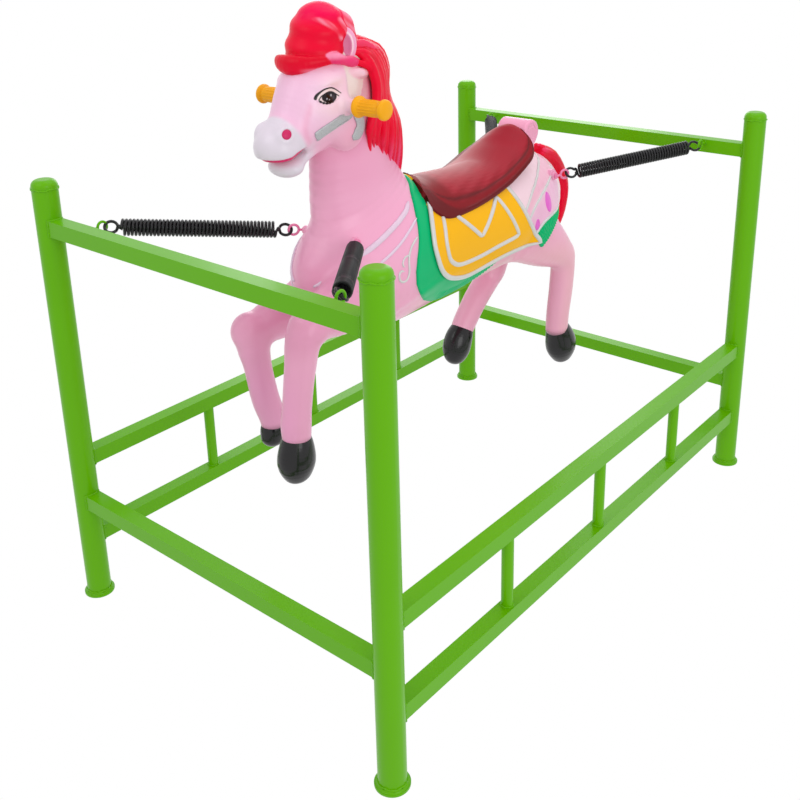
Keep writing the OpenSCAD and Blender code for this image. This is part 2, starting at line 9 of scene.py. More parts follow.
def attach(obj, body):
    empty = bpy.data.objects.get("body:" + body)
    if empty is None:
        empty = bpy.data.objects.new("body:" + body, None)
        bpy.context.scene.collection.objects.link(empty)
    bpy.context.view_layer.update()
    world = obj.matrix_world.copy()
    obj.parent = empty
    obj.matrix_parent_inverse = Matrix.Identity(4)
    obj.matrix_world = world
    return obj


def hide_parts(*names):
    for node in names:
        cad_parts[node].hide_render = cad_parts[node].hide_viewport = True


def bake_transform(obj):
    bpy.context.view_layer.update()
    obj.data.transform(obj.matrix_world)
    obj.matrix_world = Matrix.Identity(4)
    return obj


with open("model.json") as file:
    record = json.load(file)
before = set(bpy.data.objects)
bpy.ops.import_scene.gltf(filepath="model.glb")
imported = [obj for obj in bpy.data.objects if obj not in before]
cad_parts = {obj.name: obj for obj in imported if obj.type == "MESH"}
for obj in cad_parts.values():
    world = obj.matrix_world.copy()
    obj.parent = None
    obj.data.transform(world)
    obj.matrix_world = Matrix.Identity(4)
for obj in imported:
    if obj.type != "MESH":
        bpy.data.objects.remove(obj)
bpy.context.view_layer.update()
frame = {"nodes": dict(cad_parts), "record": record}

# Fields: signed distances in metres over arrays of points, meshed with surface nets

HANG = 0.680  # height of the horse's origin above the floor
FAR = 0.12  # field value outside a loft's box
VERY_FAR = 9.0


def mm(rows):
    """Stations in mm on the horse to metres in the row frame: x, y, z, half width, half depth."""
    a = np.array(rows, float) / 1000
    a[:, 2] += HANG
    return a


def smooth_rows(rows, steps):
    """Catmull-Rom curve through the rows, with steps points to each row."""
    rows = np.asarray(rows, float)
    out = []
    n = len(rows)
    for i in range(n - 1):
        a, b, c, d = rows[max(i - 1, 0)], rows[i], rows[i + 1], rows[min(i + 2, n - 1)]
        for s in range(steps):
            t = s / steps
            bend, twist = 2 * a - 5 * b + 4 * c - d, 3 * b - a - 3 * c + d
            out.append(0.5 * (2 * b + (c - a) * t + bend * t * t + twist * t ** 3))
    out.append(rows[-1])
    return np.array(out)


def smin(a, b, k):
    h = np.clip(0.5 + 0.5 * (b - a) / k, 0, 1)
    return b + (a - b) * h - k * h * (1 - h)


def smax(a, b, k):
    return -smin(-a, -b, k)


def step(x, a, b):
    t = np.clip((x - a) / (b - a), 0, 1)
    return t * t * (3 - 2 * t)


def fade(x, a, b):
    return 1 - step(x, a, b)


def bell(y, z, at, half):
    """Bump of height 1 at a side-view point, spread by half in y and z."""
    return np.exp(-((y - at[0]) / half[0]) ** 2 - ((z - at[1]) / half[1]) ** 2)


def within(P, lo, hi, work, far):
    """Values of work where P lies in the box, and far elsewhere."""
    m = np.all((P > lo) & (P < hi), axis=1)
    out = np.full(len(P), far, np.float32)
    if m.any():
        out[m] = work(P[m])
    return out


class Loft:
    """Swept elliptical body over stations, rounded at both ends."""

    def __init__(self, rows, domes):
        self.rows = smooth_rows(mm(rows), 5)
        self.domes = domes
        r = np.maximum(self.rows[:, 3], self.rows[:, 4])[:, None] + max(domes) + 0.035
        self.lo = (self.rows[:, :3] - r).min(0)
        self.hi = (self.rows[:, :3] + r).max(0)

    def __call__(self, P):
        return within(P, self.lo, self.hi, self.work, FAR)

    def work(self, P):
        rows, last = self.rows, len(self.rows) - 2
        best = np.full(len(P), VERY_FAR, np.float32)
        P = P.astype(np.float32)
        for i in range(len(rows) - 1):
            a, b = rows[i], rows[i + 1]
            ab = b[:3] - a[:3]
            length = np.linalg.norm(ab)
            if length < 1e-6:
                continue
            head = ab / length
            depth = np.array([0, -head[2], head[1]])
            depth /= max(np.linalg.norm(depth), 1e-6)
            q = P - a[:3].astype(np.float32)
            s = q @ head.astype(np.float32)
            t = np.clip(s / length, 0, 1)
            e = s - t * length
            u = q[:, 0] - t * ab[0] - e * head[0]
            v = q @ depth.astype(np.float32) - t * (ab @ depth) - e * (head @ depth)
            w = a[3] + (b[3] - a[3]) * t
            d = a[4] + (b[4] - a[4]) * t
            r = np.minimum(w, d)
            if i == 0:
                r = np.where(e < 0, self.domes[0], r)
            if i == last:
                r = np.where(e > 0, self.domes[1], r)
            A, B, C = u / w, v / d, e / r
            k0 = np.sqrt(A * A + B * B + C * C + 1e-6)
            k1 = np.sqrt((A / w) ** 2 + (B / d) ** 2 + (C / r) ** 2 + 1e-6 / (w * w))
            np.minimum(best, (k0 - 1) * k0 / k1, out=best)
        return best


class Ball:
    """Ellipsoid, turned by tilt about X and yaw about Z; with pair it stands on both sides."""

    margin = 0.03

    def __init__(self, centre, radii, tilt=0.0, pair=False, yaw=0.0):
        self.c = mm([list(centre) + [0, 0]])[0, :3]
        self.r = np.array(radii, float) / 1000
        a, b = math.radians(tilt), math.radians(yaw)
        rx = np.array([[1, 0, 0], [0, math.cos(a), math.sin(a)], [0, -math.sin(a), math.cos(a)]])
        rz = np.array([[math.cos(b), math.sin(b), 0], [-math.sin(b), math.cos(b), 0], [0, 0, 1]])
        self.m = (rx @ rz).T.astype(np.float32)
        self.pair = pair
        pad = self.r.max() + self.margin
        self.lo, self.hi = self.c - pad, self.c + pad
        if pair:
            self.lo[0] = -self.hi[0]

    def __call__(self, P):
        return within(P, self.lo, self.hi, self.work, self.margin)

    def work(self, P):
        Q = P.astype(np.float32).copy()
        if self.pair:
            Q[:, 0] = np.abs(Q[:, 0])
        q = (Q - self.c.astype(np.float32)) @ self.m
        k0 = np.sqrt(((q / self.r) ** 2).sum(1) + 1e-6)
        k1 = np.sqrt(((q / self.r ** 2) ** 2).sum(1) + 1e-6 / self.r.min() ** 2)
        return (k0 - 1) * k0 / k1


class Strand:
    """Chain of round segments over stations of x, y, z and radius; tall stretches it upwards."""

    margin = 0.025

    def __init__(self, rows, steps=3, tall=1.0, raw=False):
        a = np.array(rows, float)
        if not raw:
            a = smooth_rows(a, steps) / 1000
            a[:, 2] += HANG
        self.rows, self.tall = a, tall
        pad = a[:, 3].max() * max(tall, 1) + self.margin
        self.lo, self.hi = a[:, :3].min(0) - pad, a[:, :3].max(0) + pad

    def __call__(self, P):
        return within(P, self.lo, self.hi, self.work, self.margin)

    def work(self, P):
        size = np.array([1, 1, 1 / self.tall], np.float32)
        rows = self.rows.astype(np.float32)
        Q = P.astype(np.float32) * size
        best = np.full(len(P), VERY_FAR, np.float32)
        for a, b in zip(rows[:-1], rows[1:]):
            ab = (b[:3] - a[:3]) * size
            q = Q - a[:3] * size
            t = np.clip(q @ ab / max(float(ab @ ab), 1e-9), 0, 1)
            d = np.sqrt(((q - t[:, None] * ab) ** 2).sum(1)) - (a[3] + (b[3] - a[3]) * t)
            np.minimum(best, d, out=best)
        return best


def line_distance(Y, Z, pts, closed=False):
    """Distance in the side view to a line through pts, and how far along it the nearest point lies."""
    pts = np.asarray(pts, float)
    if closed:
        pts = np.vstack([pts, pts[:1]])
    best = np.full(Y.shape, VERY_FAR)
    along = np.zeros(Y.shape)
    run = 0.0
    for a, b in zip(pts[:-1], pts[1:]):
        ab = b - a
        L = np.hypot(*ab)
        t = np.clip(((Y - a[0]) * ab[0] + (Z - a[1]) * ab[1]) / (L * L + 1e-12), 0, 1)
        d = np.hypot(Y - a[0] - t * ab[0], Z - a[1] - t * ab[1])
        m = d < best
        best = np.where(m, d, best)
        along = np.where(m, run + t * L, along)
        run += L
    return best, along


def inside(Y, Z, pts):
    pts = np.asarray(pts, float)
    res = np.zeros(Y.shape, bool)
    for a, b in zip(pts, np.roll(pts, -1, axis=0)):
        cross = (a[1] > Z) != (b[1] > Z)
        slope = (b[0] - a[0]) / (b[1] - a[1]) if b[1] != a[1] else 0.0
        res ^= cross & (Y < a[0] + (Z - a[1]) * slope)
    return res


def region(P, pts):
    """Signed distance in the side view to an outline, less than zero inside it."""
    d, _ = line_distance(P[:, 1], P[:, 2], pts, closed=True)
    return np.where(inside(P[:, 1], P[:, 2], pts), -d, d)


def flat(pts):
    """Side-view points in mm on the horse to metres."""
    a = np.array(pts, float) / 1000
    a[:, 1] += HANG
    return a


def curve(pts, steps=6):
    return smooth_rows(np.asarray(pts, float), steps)


def surface_nets(field, lo, hi, h):
    """Quads over the zero surface of field inside the box, with voxels of size h."""
    lo, hi = np.array(lo, float), np.array(hi, float)
    block = 4
    count = (np.ceil((hi - lo) / (h * block)) + 1).astype(int)
    axes = [lo[k] + (np.arange(count[k]) + 0.5) * h * block - h / 2 for k in range(3)]
    grid = np.stack(np.meshgrid(*axes, indexing="ij"), -1).reshape(-1, 3)
    coarse = field(grid.astype(np.float32)).reshape(count)
    active = np.abs(coarse) < h * block * 1.45
    f = np.repeat(np.repeat(np.repeat(coarse, block, 0), block, 1), block, 2).astype(np.float32)
    mask = np.repeat(np.repeat(np.repeat(active, block, 0), block, 1), block, 2)
    ijk = np.argwhere(mask)
    f[mask] = field((lo + ijk * h).astype(np.float32))
    for k in range(3):
        edge = [slice(None)] * 3
        for e in (0, -1):
            edge[k] = e
            f[tuple(edge)] = np.maximum(f[tuple(edge)], h * 0.5)
    neg = f < 0
    cells = np.zeros(np.array(f.shape) - 1, np.int8)
    corners = [(x, y, z) for x in (0, 1) for y in (0, 1) for z in (0, 1)]
    sx, sy, sz = cells.shape
    for x, y, z in corners:
        cells += neg[x:x + sx, y:y + sy, z:z + sz]
    idx = np.argwhere((cells > 0) & (cells < 8))
    total = np.zeros((len(idx), 3))
    hits = np.zeros(len(idx))
    for a in corners:
        for k in range(3):
            if a[k]:
                continue
            b = list(a)
            b[k] = 1
            va = f[idx[:, 0] + a[0], idx[:, 1] + a[1], idx[:, 2] + a[2]]
            vb = f[idx[:, 0] + b[0], idx[:, 1] + b[1], idx[:, 2] + b[2]]
            m = (va < 0) != (vb < 0)
            t = np.where(m, va / np.where(m, va - vb, 1), 0)
            p = np.tile(np.array(a, float), (len(idx), 1))
            p[:, k] += t
            total[m] += p[m]
            hits[m] += 1
    verts = lo + (idx + total / hits[:, None]) * h
    ids = np.full(cells.shape, -1, np.int64)
    ids[tuple(idx.T)] = np.arange(len(idx))
    faces = []
    for k in range(3):
        a = [slice(1, -1)] * 3
        a[k] = slice(0, -1)
        b = list(a)
        b[k] = slice(1, None)
        na, nb = neg[tuple(a)], neg[tuple(b)]
        at = np.argwhere(na != nb)
        start = np.array([1, 1, 1])
        start[k] = 0
        at += start
        u, v = (k + 1) % 3, (k + 2) % 3
        quad = []
        for du, dv in ((-1, -1), (0, -1), (0, 0), (-1, 0)):
            c = at.copy()
            c[:, u] += du
            c[:, v] += dv
            quad.append(ids[tuple(c.T)])
        quad = np.stack(quad, 1)
        inner = neg[tuple(at.T)]
        quad[~inner] = quad[~inner][:, ::-1]
        faces.append(quad)
    faces = np.concatenate(faces)
    faces = faces[(faces >= 0).all(1)]
    return verts, faces


def units(v, least=1e-6):
    return v / np.maximum(np.linalg.norm(v, axis=1), least)[:, None]


def gradient(field, P):
    e = 0.0006
    g = np.zeros((len(P), 3))
    for k in range(3):
        d = np.zeros(3)
        d[k] = e
        g[:, k] = (field((P + d).astype(np.float32)) - field((P - d).astype(np.float32))) / (2 * e)
    return g


def settle(field, verts, rounds, limit):
    """Moves vertices onto the zero surface, by no more than limit a round."""
    for _ in range(rounds):
        f = field(verts.astype(np.float32))
        g = gradient(field, verts)
        n2 = np.maximum((g * g).sum(1), 0.25)
        move = -g * (f / n2)[:, None]
        length = np.linalg.norm(move, axis=1)
        verts = verts + move * np.minimum(1, limit / np.maximum(length, 1e-9))[:, None]
    return verts


def mesh_object(name, verts, faces):
    verts = np.asarray(verts, np.float32)
    faces = np.asarray(faces, np.int32)
    sides = faces.shape[1]
    me = bpy.data.meshes.new(name)
    me.vertices.add(len(verts))
    me.vertices.foreach_set("co", verts.ravel())
    me.loops.add(faces.size)
    me.loops.foreach_set("vertex_index", faces.ravel())
    me.polygons.add(len(faces))
    me.polygons.foreach_set("loop_start", np.arange(0, faces.size, sides, dtype=np.int32))
    me.polygons.foreach_set("loop_total", np.full(len(faces), sides, np.int32))
    me.update(calc_edges=True)
    me.validate()
    me.polygons.foreach_set("use_smooth", np.full(len(me.polygons), True))
    ob = bpy.data.objects.new(name, me)
    bpy.context.scene.collection.objects.link(ob)
    return ob


def paint(ob, colours):
    """Per-vertex linear colour named paint."""
    n = len(ob.data.vertices)
    rgba = np.ones((n, 4), np.float32)
    rgba[:, :3] = colours
    a = ob.data.attributes.new("paint", "FLOAT_COLOR", "POINT")
    a.data.foreach_set("color", rgba.ravel())


def blob(name, field, lo, hi, h):
    """Object meshed from a field. lo and hi are in mm on the horse, h in mm."""
    lo, hi = mm([list(lo) + [0, 0]])[0, :3], mm([list(hi) + [0, 0]])[0, :3]
    h = h / 1000
    v, q = surface_nets(field, lo, hi, h)
    v = settle(field, v, 2, h * 0.5)
    return mesh_object(name, v, q)


# Tubes and bands along paths

def frames(path, closed=False, up=None):
    """Tangent, up and across at each point of a path; with no up it is carried along the path."""
    path = np.asarray(path, float)
    if closed:
        tan = np.roll(path, -1, 0) - np.roll(path, 1, 0)
    else:
        tan = np.gradient(path, axis=0)
    tan = units(tan, 1e-9)
    if up is None:
        ups = np.zeros_like(path)
        u = np.array([0.3, 0.2, 1.0])
        for i, t in enumerate(tan):
            u = u - t * (u @ t)
            if np.linalg.norm(u) < 1e-6:
                u = np.array([1.0, 0.1, 0]) - t * t[0]
            u /= np.linalg.norm(u)
            ups[i] = u
    else:
        ups = units(np.asarray(up, float) - tan * (np.asarray(up) * tan).sum(1)[:, None], 1e-9)
    return tan, ups, np.cross(tan, ups)


def tube_arrays(path, half_w, half_h, sides=10, closed=False, up=None, power=1.0):
    """Swept rounded section: half_h along up, half_w across. Both can be arrays along the path."""
    path = np.asarray(path, float)
    n = len(path)
    tan, ups, across = frames(path, closed, up)
    a = np.arange(sides) * 2 * math.pi / sides
    c, s = np.cos(a), np.sin(a)
    c, s = np.sign(c) * np.abs(c) ** power, np.sign(s) * np.abs(s) ** power
    hw = np.broadcast_to(half_w, n)[:, None, None]
    hh = np.broadcast_to(half_h, n)[:, None, None]
    rings = path[:, None] + across[:, None] * (c[None, :, None] * hw) + ups[:, None] * (s[None, :, None] * hh)
    verts = rings.reshape(-1, 3)
    i = np.arange(n if closed else n - 1)[:, None]
    k = np.arange(sides)[None]
    j = (i + 1) % n
    m = (k + 1) % sides
    quads = np.stack([i * sides + k, j * sides + k, j * sides + m, i * sides + m], -1).reshape(-1, 4)
    if closed:
        return verts, quads
    ends = []
    for first, flip in ((0, False), ((n - 1) * sides, True)):
        half = sides // 2
        for q in range(half - 1):
            ring = [first + q, first + q + 1, first + sides - 2 - q, first + sides - 1 - q]
            ends.append(ring[::-1] if flip else ring)
    return verts, np.vstack([quads, np.array(ends)])


def ring_quads(rings, per):
    """Quads between neighbouring closed rings of per points each."""
    i = np.arange(rings - 1)[:, None]
    k = np.arange(per)[None]
    m = (k + 1) % per
    return np.stack([i * per + k, i * per + m, (i + 1) * per + m, (i + 1) * per + k], -1).reshape(-1, 4)


def join(parts):
    """One mesh of many, each given as vertices and faces."""
    verts, faces, at = [], [], 0
    for v, f in parts:
        verts.append(v)
        faces.append(np.asarray(f) + at)
        at += len(v)
    return np.vstack(verts), np.vstack(faces)


def tapered(n, ends, amount):
    """Widths along a line that thin by amount over a share of it at both ends."""
    t = np.linspace(0, 1, n)
    return 1 - amount * fade(t, 0, ends) - amount * fade(1 - t, 0, ends)


def lathe(profile, origin, axis, segments):
    """Quads of a turned shape. The profile is radius and height along the axis."""
    profile = np.asarray(profile, float)
    axis = np.asarray(axis, float) / np.linalg.norm(axis)
    u = np.cross(axis, [0.13, 0.37, 0.92])
    u /= np.linalg.norm(u)
    v = np.cross(axis, u)
    a = np.arange(segments) * 2 * math.pi / segments
    ring = np.cos(a)[:, None] * u + np.sin(a)[:, None] * v
    radius, height = profile[:, :1, None], profile[:, 1:, None]
    verts = (np.asarray(origin) + height * axis + radius * ring[None]).reshape(-1, 3)
    return verts, ring_quads(len(profile), segments)


# Materials

ROUGH_VARY = 0.06  # how far the roughness strays either way


def lin(r, g, b):
    """sRGB from 0 to 255 to linear."""
    c = np.array([r, g, b], float) / 255
    return np.where(c <= 0.04045, c / 12.92, ((c + 0.055) / 1.055) ** 2.4)


def add_node(tree, kind, **sockets):
    """Shader node with its sockets set; an underscore stands for a space in a socket's name."""
    node = tree.nodes.new("ShaderNode" + kind)
    for key, value in sockets.items():
        node.inputs[key.replace("_", " ")].default_value = value
    return node


def material(name, colour=None, rough=0.3, metal=0.0, coat=0.0, coat_rough=0.08, bump=0.0,
             scale=60.0, vary=0.06, fine=0.0, fine_scale=900.0, spec=0.35, dim=1.0):
    """Procedural paint or plastic in an sRGB colour, or in the vertex colour named paint."""
    m = bpy.data.materials.new(name)
    m.use_nodes = True
    nt = m.node_tree
    link = nt.links.new
    bsdf = nt.nodes["Principled BSDF"]
    bsdf.inputs["Metallic"].default_value = metal
    bsdf.inputs["Specular IOR Level"].default_value = spec
    bsdf.inputs["Coat Weight"].default_value = coat
    bsdf.inputs["Coat Roughness"].default_value = coat_rough
    where = add_node(nt, "TexCoord")
    noise = add_node(nt, "TexNoise", Scale=scale, Detail=4.0)
    link(where.outputs["Object"], noise.inputs["Vector"])
    shade = add_node(nt, "MapRange", To_Min=1 - vary, To_Max=1 + vary)
    link(noise.outputs["Fac"], shade.inputs["Value"])
    tone = add_node(nt, "VectorMath")
    tone.operation = "SCALE"
    if colour is None:
        base = add_node(nt, "Attribute")
        base.attribute_name = "paint"
        link(base.outputs["Color"], tone.inputs[0])
    else:
        tone.inputs[0].default_value = [float(x) for x in lin(*colour) * dim]
    link(shade.outputs["Result"], tone.inputs["Scale"])
    link(tone.outputs["Vector"], bsdf.inputs["Base Color"])
    dull = add_node(nt, "MapRange", To_Min=max(rough - ROUGH_VARY, 0.02), To_Max=rough + ROUGH_VARY)
    link(noise.outputs["Fac"], dull.inputs["Value"])
    link(dull.outputs["Result"], bsdf.inputs["Roughness"])
    if bump or fine:
        small = add_node(nt, "TexNoise", Scale=fine_scale if fine else scale * 3, Detail=2.0)
        link(where.outputs["Object"], small.inputs["Vector"])
        dent = add_node(nt, "Bump", Strength=fine if fine else bump, Distance=0.001)
        link(small.outputs["Fac"], dent.inputs["Height"])
        link(dent.outputs["Normal"], bsdf.inputs["Normal"])
    return m


def finish_piece(ob, mat, body, slot, *nodes):
    """Gives a piece its look and the body it rides, and hides the nodes that it stands for. Its slot is not
    used.
    """
    ob.data.materials.append(mat)
    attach(ob, body)
    if nodes:
        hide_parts(*nodes)


# Horse: the shapes

TORSO = Loft([
    [0, -352, 22, 46, 46], [0, -318, 12, 75, 82], [0, -275, 8, 97, 114], [0, -190, 8, 106, 133],
    [0, -60, 5, 106, 126], [0, 80, 3, 104, 119], [0, 220, 8, 102, 118], [0, 316, 16, 80, 102],
    [0, 368, 18, 52, 72]], (0.020, 0.034))
NECK = Loft([
    [0, -190, -40, 84, 140], [0, -215, 65, 76, 130], [0, -245, 150, 60, 110], [0, -263, 240, 55, 86],
    [0, -275, 320, 54, 76], [0, -272, 375, 50, 66]], (0.02, 0.02))
HEAD = Loft([
    [0, -285, 395, 50, 60], [0, -315, 365, 61, 78], [0, -350, 328, 61, 75], [0, -390, 298, 48, 52],
    [0, -422, 280, 41, 42], [0, -442, 270, 37, 36]], (0.026, 0.020))
JAW = Loft([[0, -352, 268, 32, 17], [0, -388, 252, 31, 14], [0, -412, 239, 30, 14]], (0.010, 0.010))
LEGS = {
    "front_left": [
        [62, -300, 0, 46, 62], [72, -370, -18, 42, 54], [76, -432, -22, 36, 42], [78, -472, -40, 31, 34],
        [78, -488, -100, 26, 29], [78, -500, -165, 25, 27], [78, -505, -200, 26, 28],
        [78, -505, -230, 24, 26]],
    "front_right": [
        [-60, -292, -40, 44, 50], [-73, -365, -68, 40, 44], [-80, -422, -78, 35, 37],
        [-81, -450, -102, 32, 33], [-79, -447, -150, 25, 27], [-77, -436, -220, 25, 27],
        [-75, -424, -262, 24, 26], [-75, -422, -284, 21, 23]],
    "rear_left": [
        [56, 240, -30, 50, 82], [66, 292, -70, 43, 64], [76, 338, -104, 35, 44], [80, 366, -132, 28, 31],
        [80, 364, -200, 27, 29], [80, 353, -262, 26, 28], [80, 349, -308, 25, 28]],
    "rear_right": [
        [-56, 250, -20, 50, 80], [-66, 300, -80, 42, 60], [-76, 320, -140, 33, 40],
        [-80, 305, -185, 29, 31], [-80, 246, -232, 28, 29], [-80, 206, -272, 27, 28],
        [-80, 190, -292, 26, 28]]}
HOOVES = {
    "front_left": [[78, -505, -226, 24, 26], [78, -507, -244, 29, 33], [78, -509, -268, 31, 37],
                   [78, -508, -288, 24, 29]],
    "front_right": [[-75, -422, -282, 20, 22], [-75, -423, -294, 23, 26], [-75, -425, -308, 21, 25]],
    "rear_left": [[80, 352, -308, 25, 28], [80, 362, -326, 31, 36], [80, 371, -352, 34, 41],
                  [80, 375, -375, 25, 30]],
    "rear_right": [[-80, 187, -298, 27, 29], [-80, 176, -313, 31, 34], [-80, 167, -333, 31, 35],
                   [-80, 162, -349, 24, 28]]}
LEG = {k: Loft(v, (0.02, 0.01)) for k, v in LEGS.items()}
KNEES = [Ball((77, -462, -34), (33, 36, 34)), Ball((-85, -456, -81), (33, 35, 36)),
         Ball((79, 358, -124), (29, 33, 36)), Ball((-79, 306, -176), (30, 33, 36))]
# Muscle swells in the side view: middle y and z, half sizes, height
SWELLS = [(-268, -8, 66, 92, 5), (286, -6, 70, 84, 5), (-60, -30, 120, 60, -3), (215, -70, 30, 60, -4)]
CHEEK = Ball((36, -306, 292), (27, 42, 46), 0, pair=True)
BROW = Ball((42, -352, 378), (20, 30, 11), 20, pair=True)
SOCKET = Ball((69, -368, 352), (13, 25, 13), 18, pair=True)
MUZZLE = Ball((0, -440, 269), (39, 27, 32), 20)
NOSE = Ball((25, -443, 296), (15, 16, 15), 30, pair=True)
NOSTRIL = Ball((38, -446, 300), (10, 10, 8.6), 30, pair=True)
DIMPLE = Ball((45, -450, 300), (14, 14, 12), 30, pair=True)
CHIN = Ball((0, -421, 234), (36, 22, 17.5), 10)
EAR_LOBE = Strand([(46, -322, 388, 5), (54, -302, 384, 8), (55, -282, 381, 9), (50, -262, 378, 6)], 3)
BOSS = Strand([(50, -326, 332, 20), (66, -326, 332, 13), (82, -326, 332, 11)], 2)
MOUTH_LINE = curve(flat([[-510, 252], [-481, 254], [-450, 256], [-425, 261], [-407, 270]]))


def trunk(P):
    d = smin(TORSO(P), NECK(P), 0.03)
    for y, z, half_y, half_z, height in SWELLS:
        q = ((P[:, 1] - y / 1000) * 1000 / half_y) ** 2 + ((P[:, 2] - HANG - z / 1000) * 1000 / half_z) ** 2
        d = d - step(np.abs(P[:, 0]), 0.03, 0.07) * height / 1000 * np.exp(-q)
    return d


def body(P):
    d = trunk(P)
    for leg in LEG.values():
        d = smin(d, leg(P), 0.018)
    for knee in KNEES:
        d = smin(d, knee(P), 0.008)
    return d


def mirrored(P):
    Q = P.copy()
    Q[:, 0] = np.abs(Q[:, 0])
    return Q


def skull(P, boss=True):
    d = HEAD(P)
    for part, soft in ((CHEEK, 0.012), (BROW, 0.014), (MUZZLE, 0.012), (NOSE, 0.010)):
        d = smin(d, part(P), soft)
    d = smax(d, -SOCKET(P), 0.012)
    Q = mirrored(P)
    d = smin(d, EAR_LOBE(Q), 0.004)
    return smin(d, BOSS(Q), 0.010) if boss else d


def jaw(P):
    return smin(JAW(P), CHIN(P), 0.012)


def mouth(P):
    d, along = line_distance(P[:, 1], P[:, 2], MOUTH_LINE)
    return d - np.interp(along, (0.052, 0.070, 0.084, 0.094, 0.104),
                         (0.0010, 0.0022, 0.0044, 0.0030, 0.0006))


def face(P, boss=True):
    y, z = P[:, 1], P[:, 2] - HANG
    back = step(y, -0.404, -0.384)
    lip = np.interp(y, (-0.480, -0.450, -0.425, -0.407, -0.400, -0.390),
                    (0.253, 0.254, 0.259, 0.268, 0.262, 0.190))
    d = smax(skull(P, boss), lip - z, 0.006)
    d = smin(d, jaw(P), 0.0015 + 0.010 * back)
    d = smax(d, -mouth(P), 0.003)
    d = smax(d, -DIMPLE(P) - 0.0015, 0.004)
    return smax(d, -NOSTRIL(P), 0.003)


def bare_face(P):
    """The face without the bosses of the grips, which the straps run under."""
    return face(P, False)


def horse_field(P):
    return smin(body(P), face(P), 0.006)


# Outlines in the side view, in mm on the horse
REAR_EDGE = [[222, -50], [170, 16], [134, 84], [118, 190]]
UNDER = flat([[-95, 190], [-152, 140], [-167, 110], [-184, 60], [-198, 28], [-204, 2], [-200, -24],
              [-184, -50], [-156, -74], [-120, -91], [-80, -99], [-40, -100], [0, -95], [50, -78],
              [90, -58]] + REAR_EDGE)
YELLOW_LOW = [[-134, 96], [-150, 49], [-143, 11], [-124, -20], [-90, -43], [-29, -57], [52, -51],
              [117, -48]]
YELLOW = flat([[-92, 190]] + YELLOW_LOW + REAR_EDGE)
RUMP = flat([[128, 190], [140, 84], [176, 16], [226, -46], [300, -20], [340, 0], [372, 40], [384, 100],
             [384, 190]])
LINE_1 = flat([[345, 122], [315, 111], [280, 100], [247, 85], [205, 62], [170, 34], [160, 26]])
LINE_2 = flat([[345, 88], [313, 75], [278, 65], [242, 52], [205, 33], [184, 15], [174, 6]])
LINE_3 = flat([[330, 6], [301, 3], [270, 1], [241, -5], [224, -16], [210, -32]])
WEDGE = flat([[330, 3], [301, 0], [270, -2], [241, -8], [224, -19], [208, -36], [233, -66], [262, -42],
              [289, -22], [320, -8]])
OVALS = [((261, 31), (12.5, 22), -3), ((214, -9), (8, 13), -4)]
UNDER_T, YELLOW_T, RUMP_T = 0.004, 0.008, 0.004  # how far the cloths stand off the body


def fringe(P, outline, depth=0.026, pitch=0.0085):
    """Height of the fringe's ribs near an outline's lower edge."""
    d, along = line_distance(P[:, 1], P[:, 2], outline, closed=True)
    rib = 0.0009 * np.sin(along * 2 * math.pi / pitch) * fade(d, depth * 0.8, depth)
    return rib * fade(P[:, 2], HANG + 0.02, HANG + 0.05) * step(P[:, 1], -0.14, -0.08)


def under_field(P):
    return smax(body(P) - UNDER_T - fringe(P, UNDER), region(P, UNDER), 0.003)


def yellow_field(P):
    return smax(body(P) - YELLOW_T, region(P, YELLOW), 0.003)


def rump_field(P):
    return smax(body(P) - RUMP_T, region(P, RUMP), 0.003)


def wedge_field(P):
    return smax(body(P) - RUMP_T - 0.0016 - fringe(P, WEDGE, 0.05, 0.007), region(P, WEDGE), 0.002)


def oval(P, centre, radii, tilt):
    """Distance in the side view to an ellipse turned by tilt degrees."""
    a = math.radians(tilt)
    y, z = P[:, 1] - centre[0] / 1000, P[:, 2] - HANG - centre[1] / 1000
    u, v = y * math.cos(a) + z * math.sin(a), -y * math.sin(a) + z * math.cos(a)
    k = np.sqrt((u * 1000 / radii[0]) ** 2 + (v * 1000 / radii[1]) ** 2 + 1e-6)
    return (k - 1) * min(radii) / 1000


def ovals_field(P):
    marks = np.minimum(*[oval(P, *o) for o in OVALS])
    return smax(body(P) - RUMP_T - 0.0012, marks, 0.002)


# Eyes: y, z of each line in mm on the horse
EYE_AT = (-367, 353)
LASH = flat([[-389, 351], [-387, 355], [-380, 362], [-372, 366], [-361, 366.5], [-350, 362.5], [-340, 355]])
LID = flat([[-384, 349], [-378, 355.5], [-367, 360], [-356, 358.5], [-345, 351]])
LOWER = flat([[-384, 347], [-377, 343], [-367, 341], [-357, 343.5], [-349, 348]])
EYE_RIM = flat([[-389, 351], [-381, 362], [-372, 367], [-361, 367.5], [-350, 363], [-340, 355], [-347, 348],
                [-356, 343], [-366, 341], [-377, 343], [-384, 347]])


def eye_field(P):
    y, z = P[:, 1] - EYE_AT[0] / 1000, P[:, 2] - HANG - EYE_AT[1] / 1000
    bulge = 0.0040 * np.exp(-(y / 0.014) ** 2 - (z / 0.010) ** 2)
    edge = region(P, EYE_RIM)
    lift = 0.0006 + bulge - 0.0016 * step(edge, 0.0010, 0.0040)
    return smax(face(P) - lift, edge - 0.005, 0.001)


def mouth_field(P):
    d = smin(skull(P), jaw(P), 0.010) + 0.006
    return smax(d, mouth(P) - 0.004, 0.002)


def nostril_field(P):
    return smax(skull(P) + 0.0025, NOSTRIL(P) - 0.0005, 0.001)


# Hair: bundles of tapering strands round a core

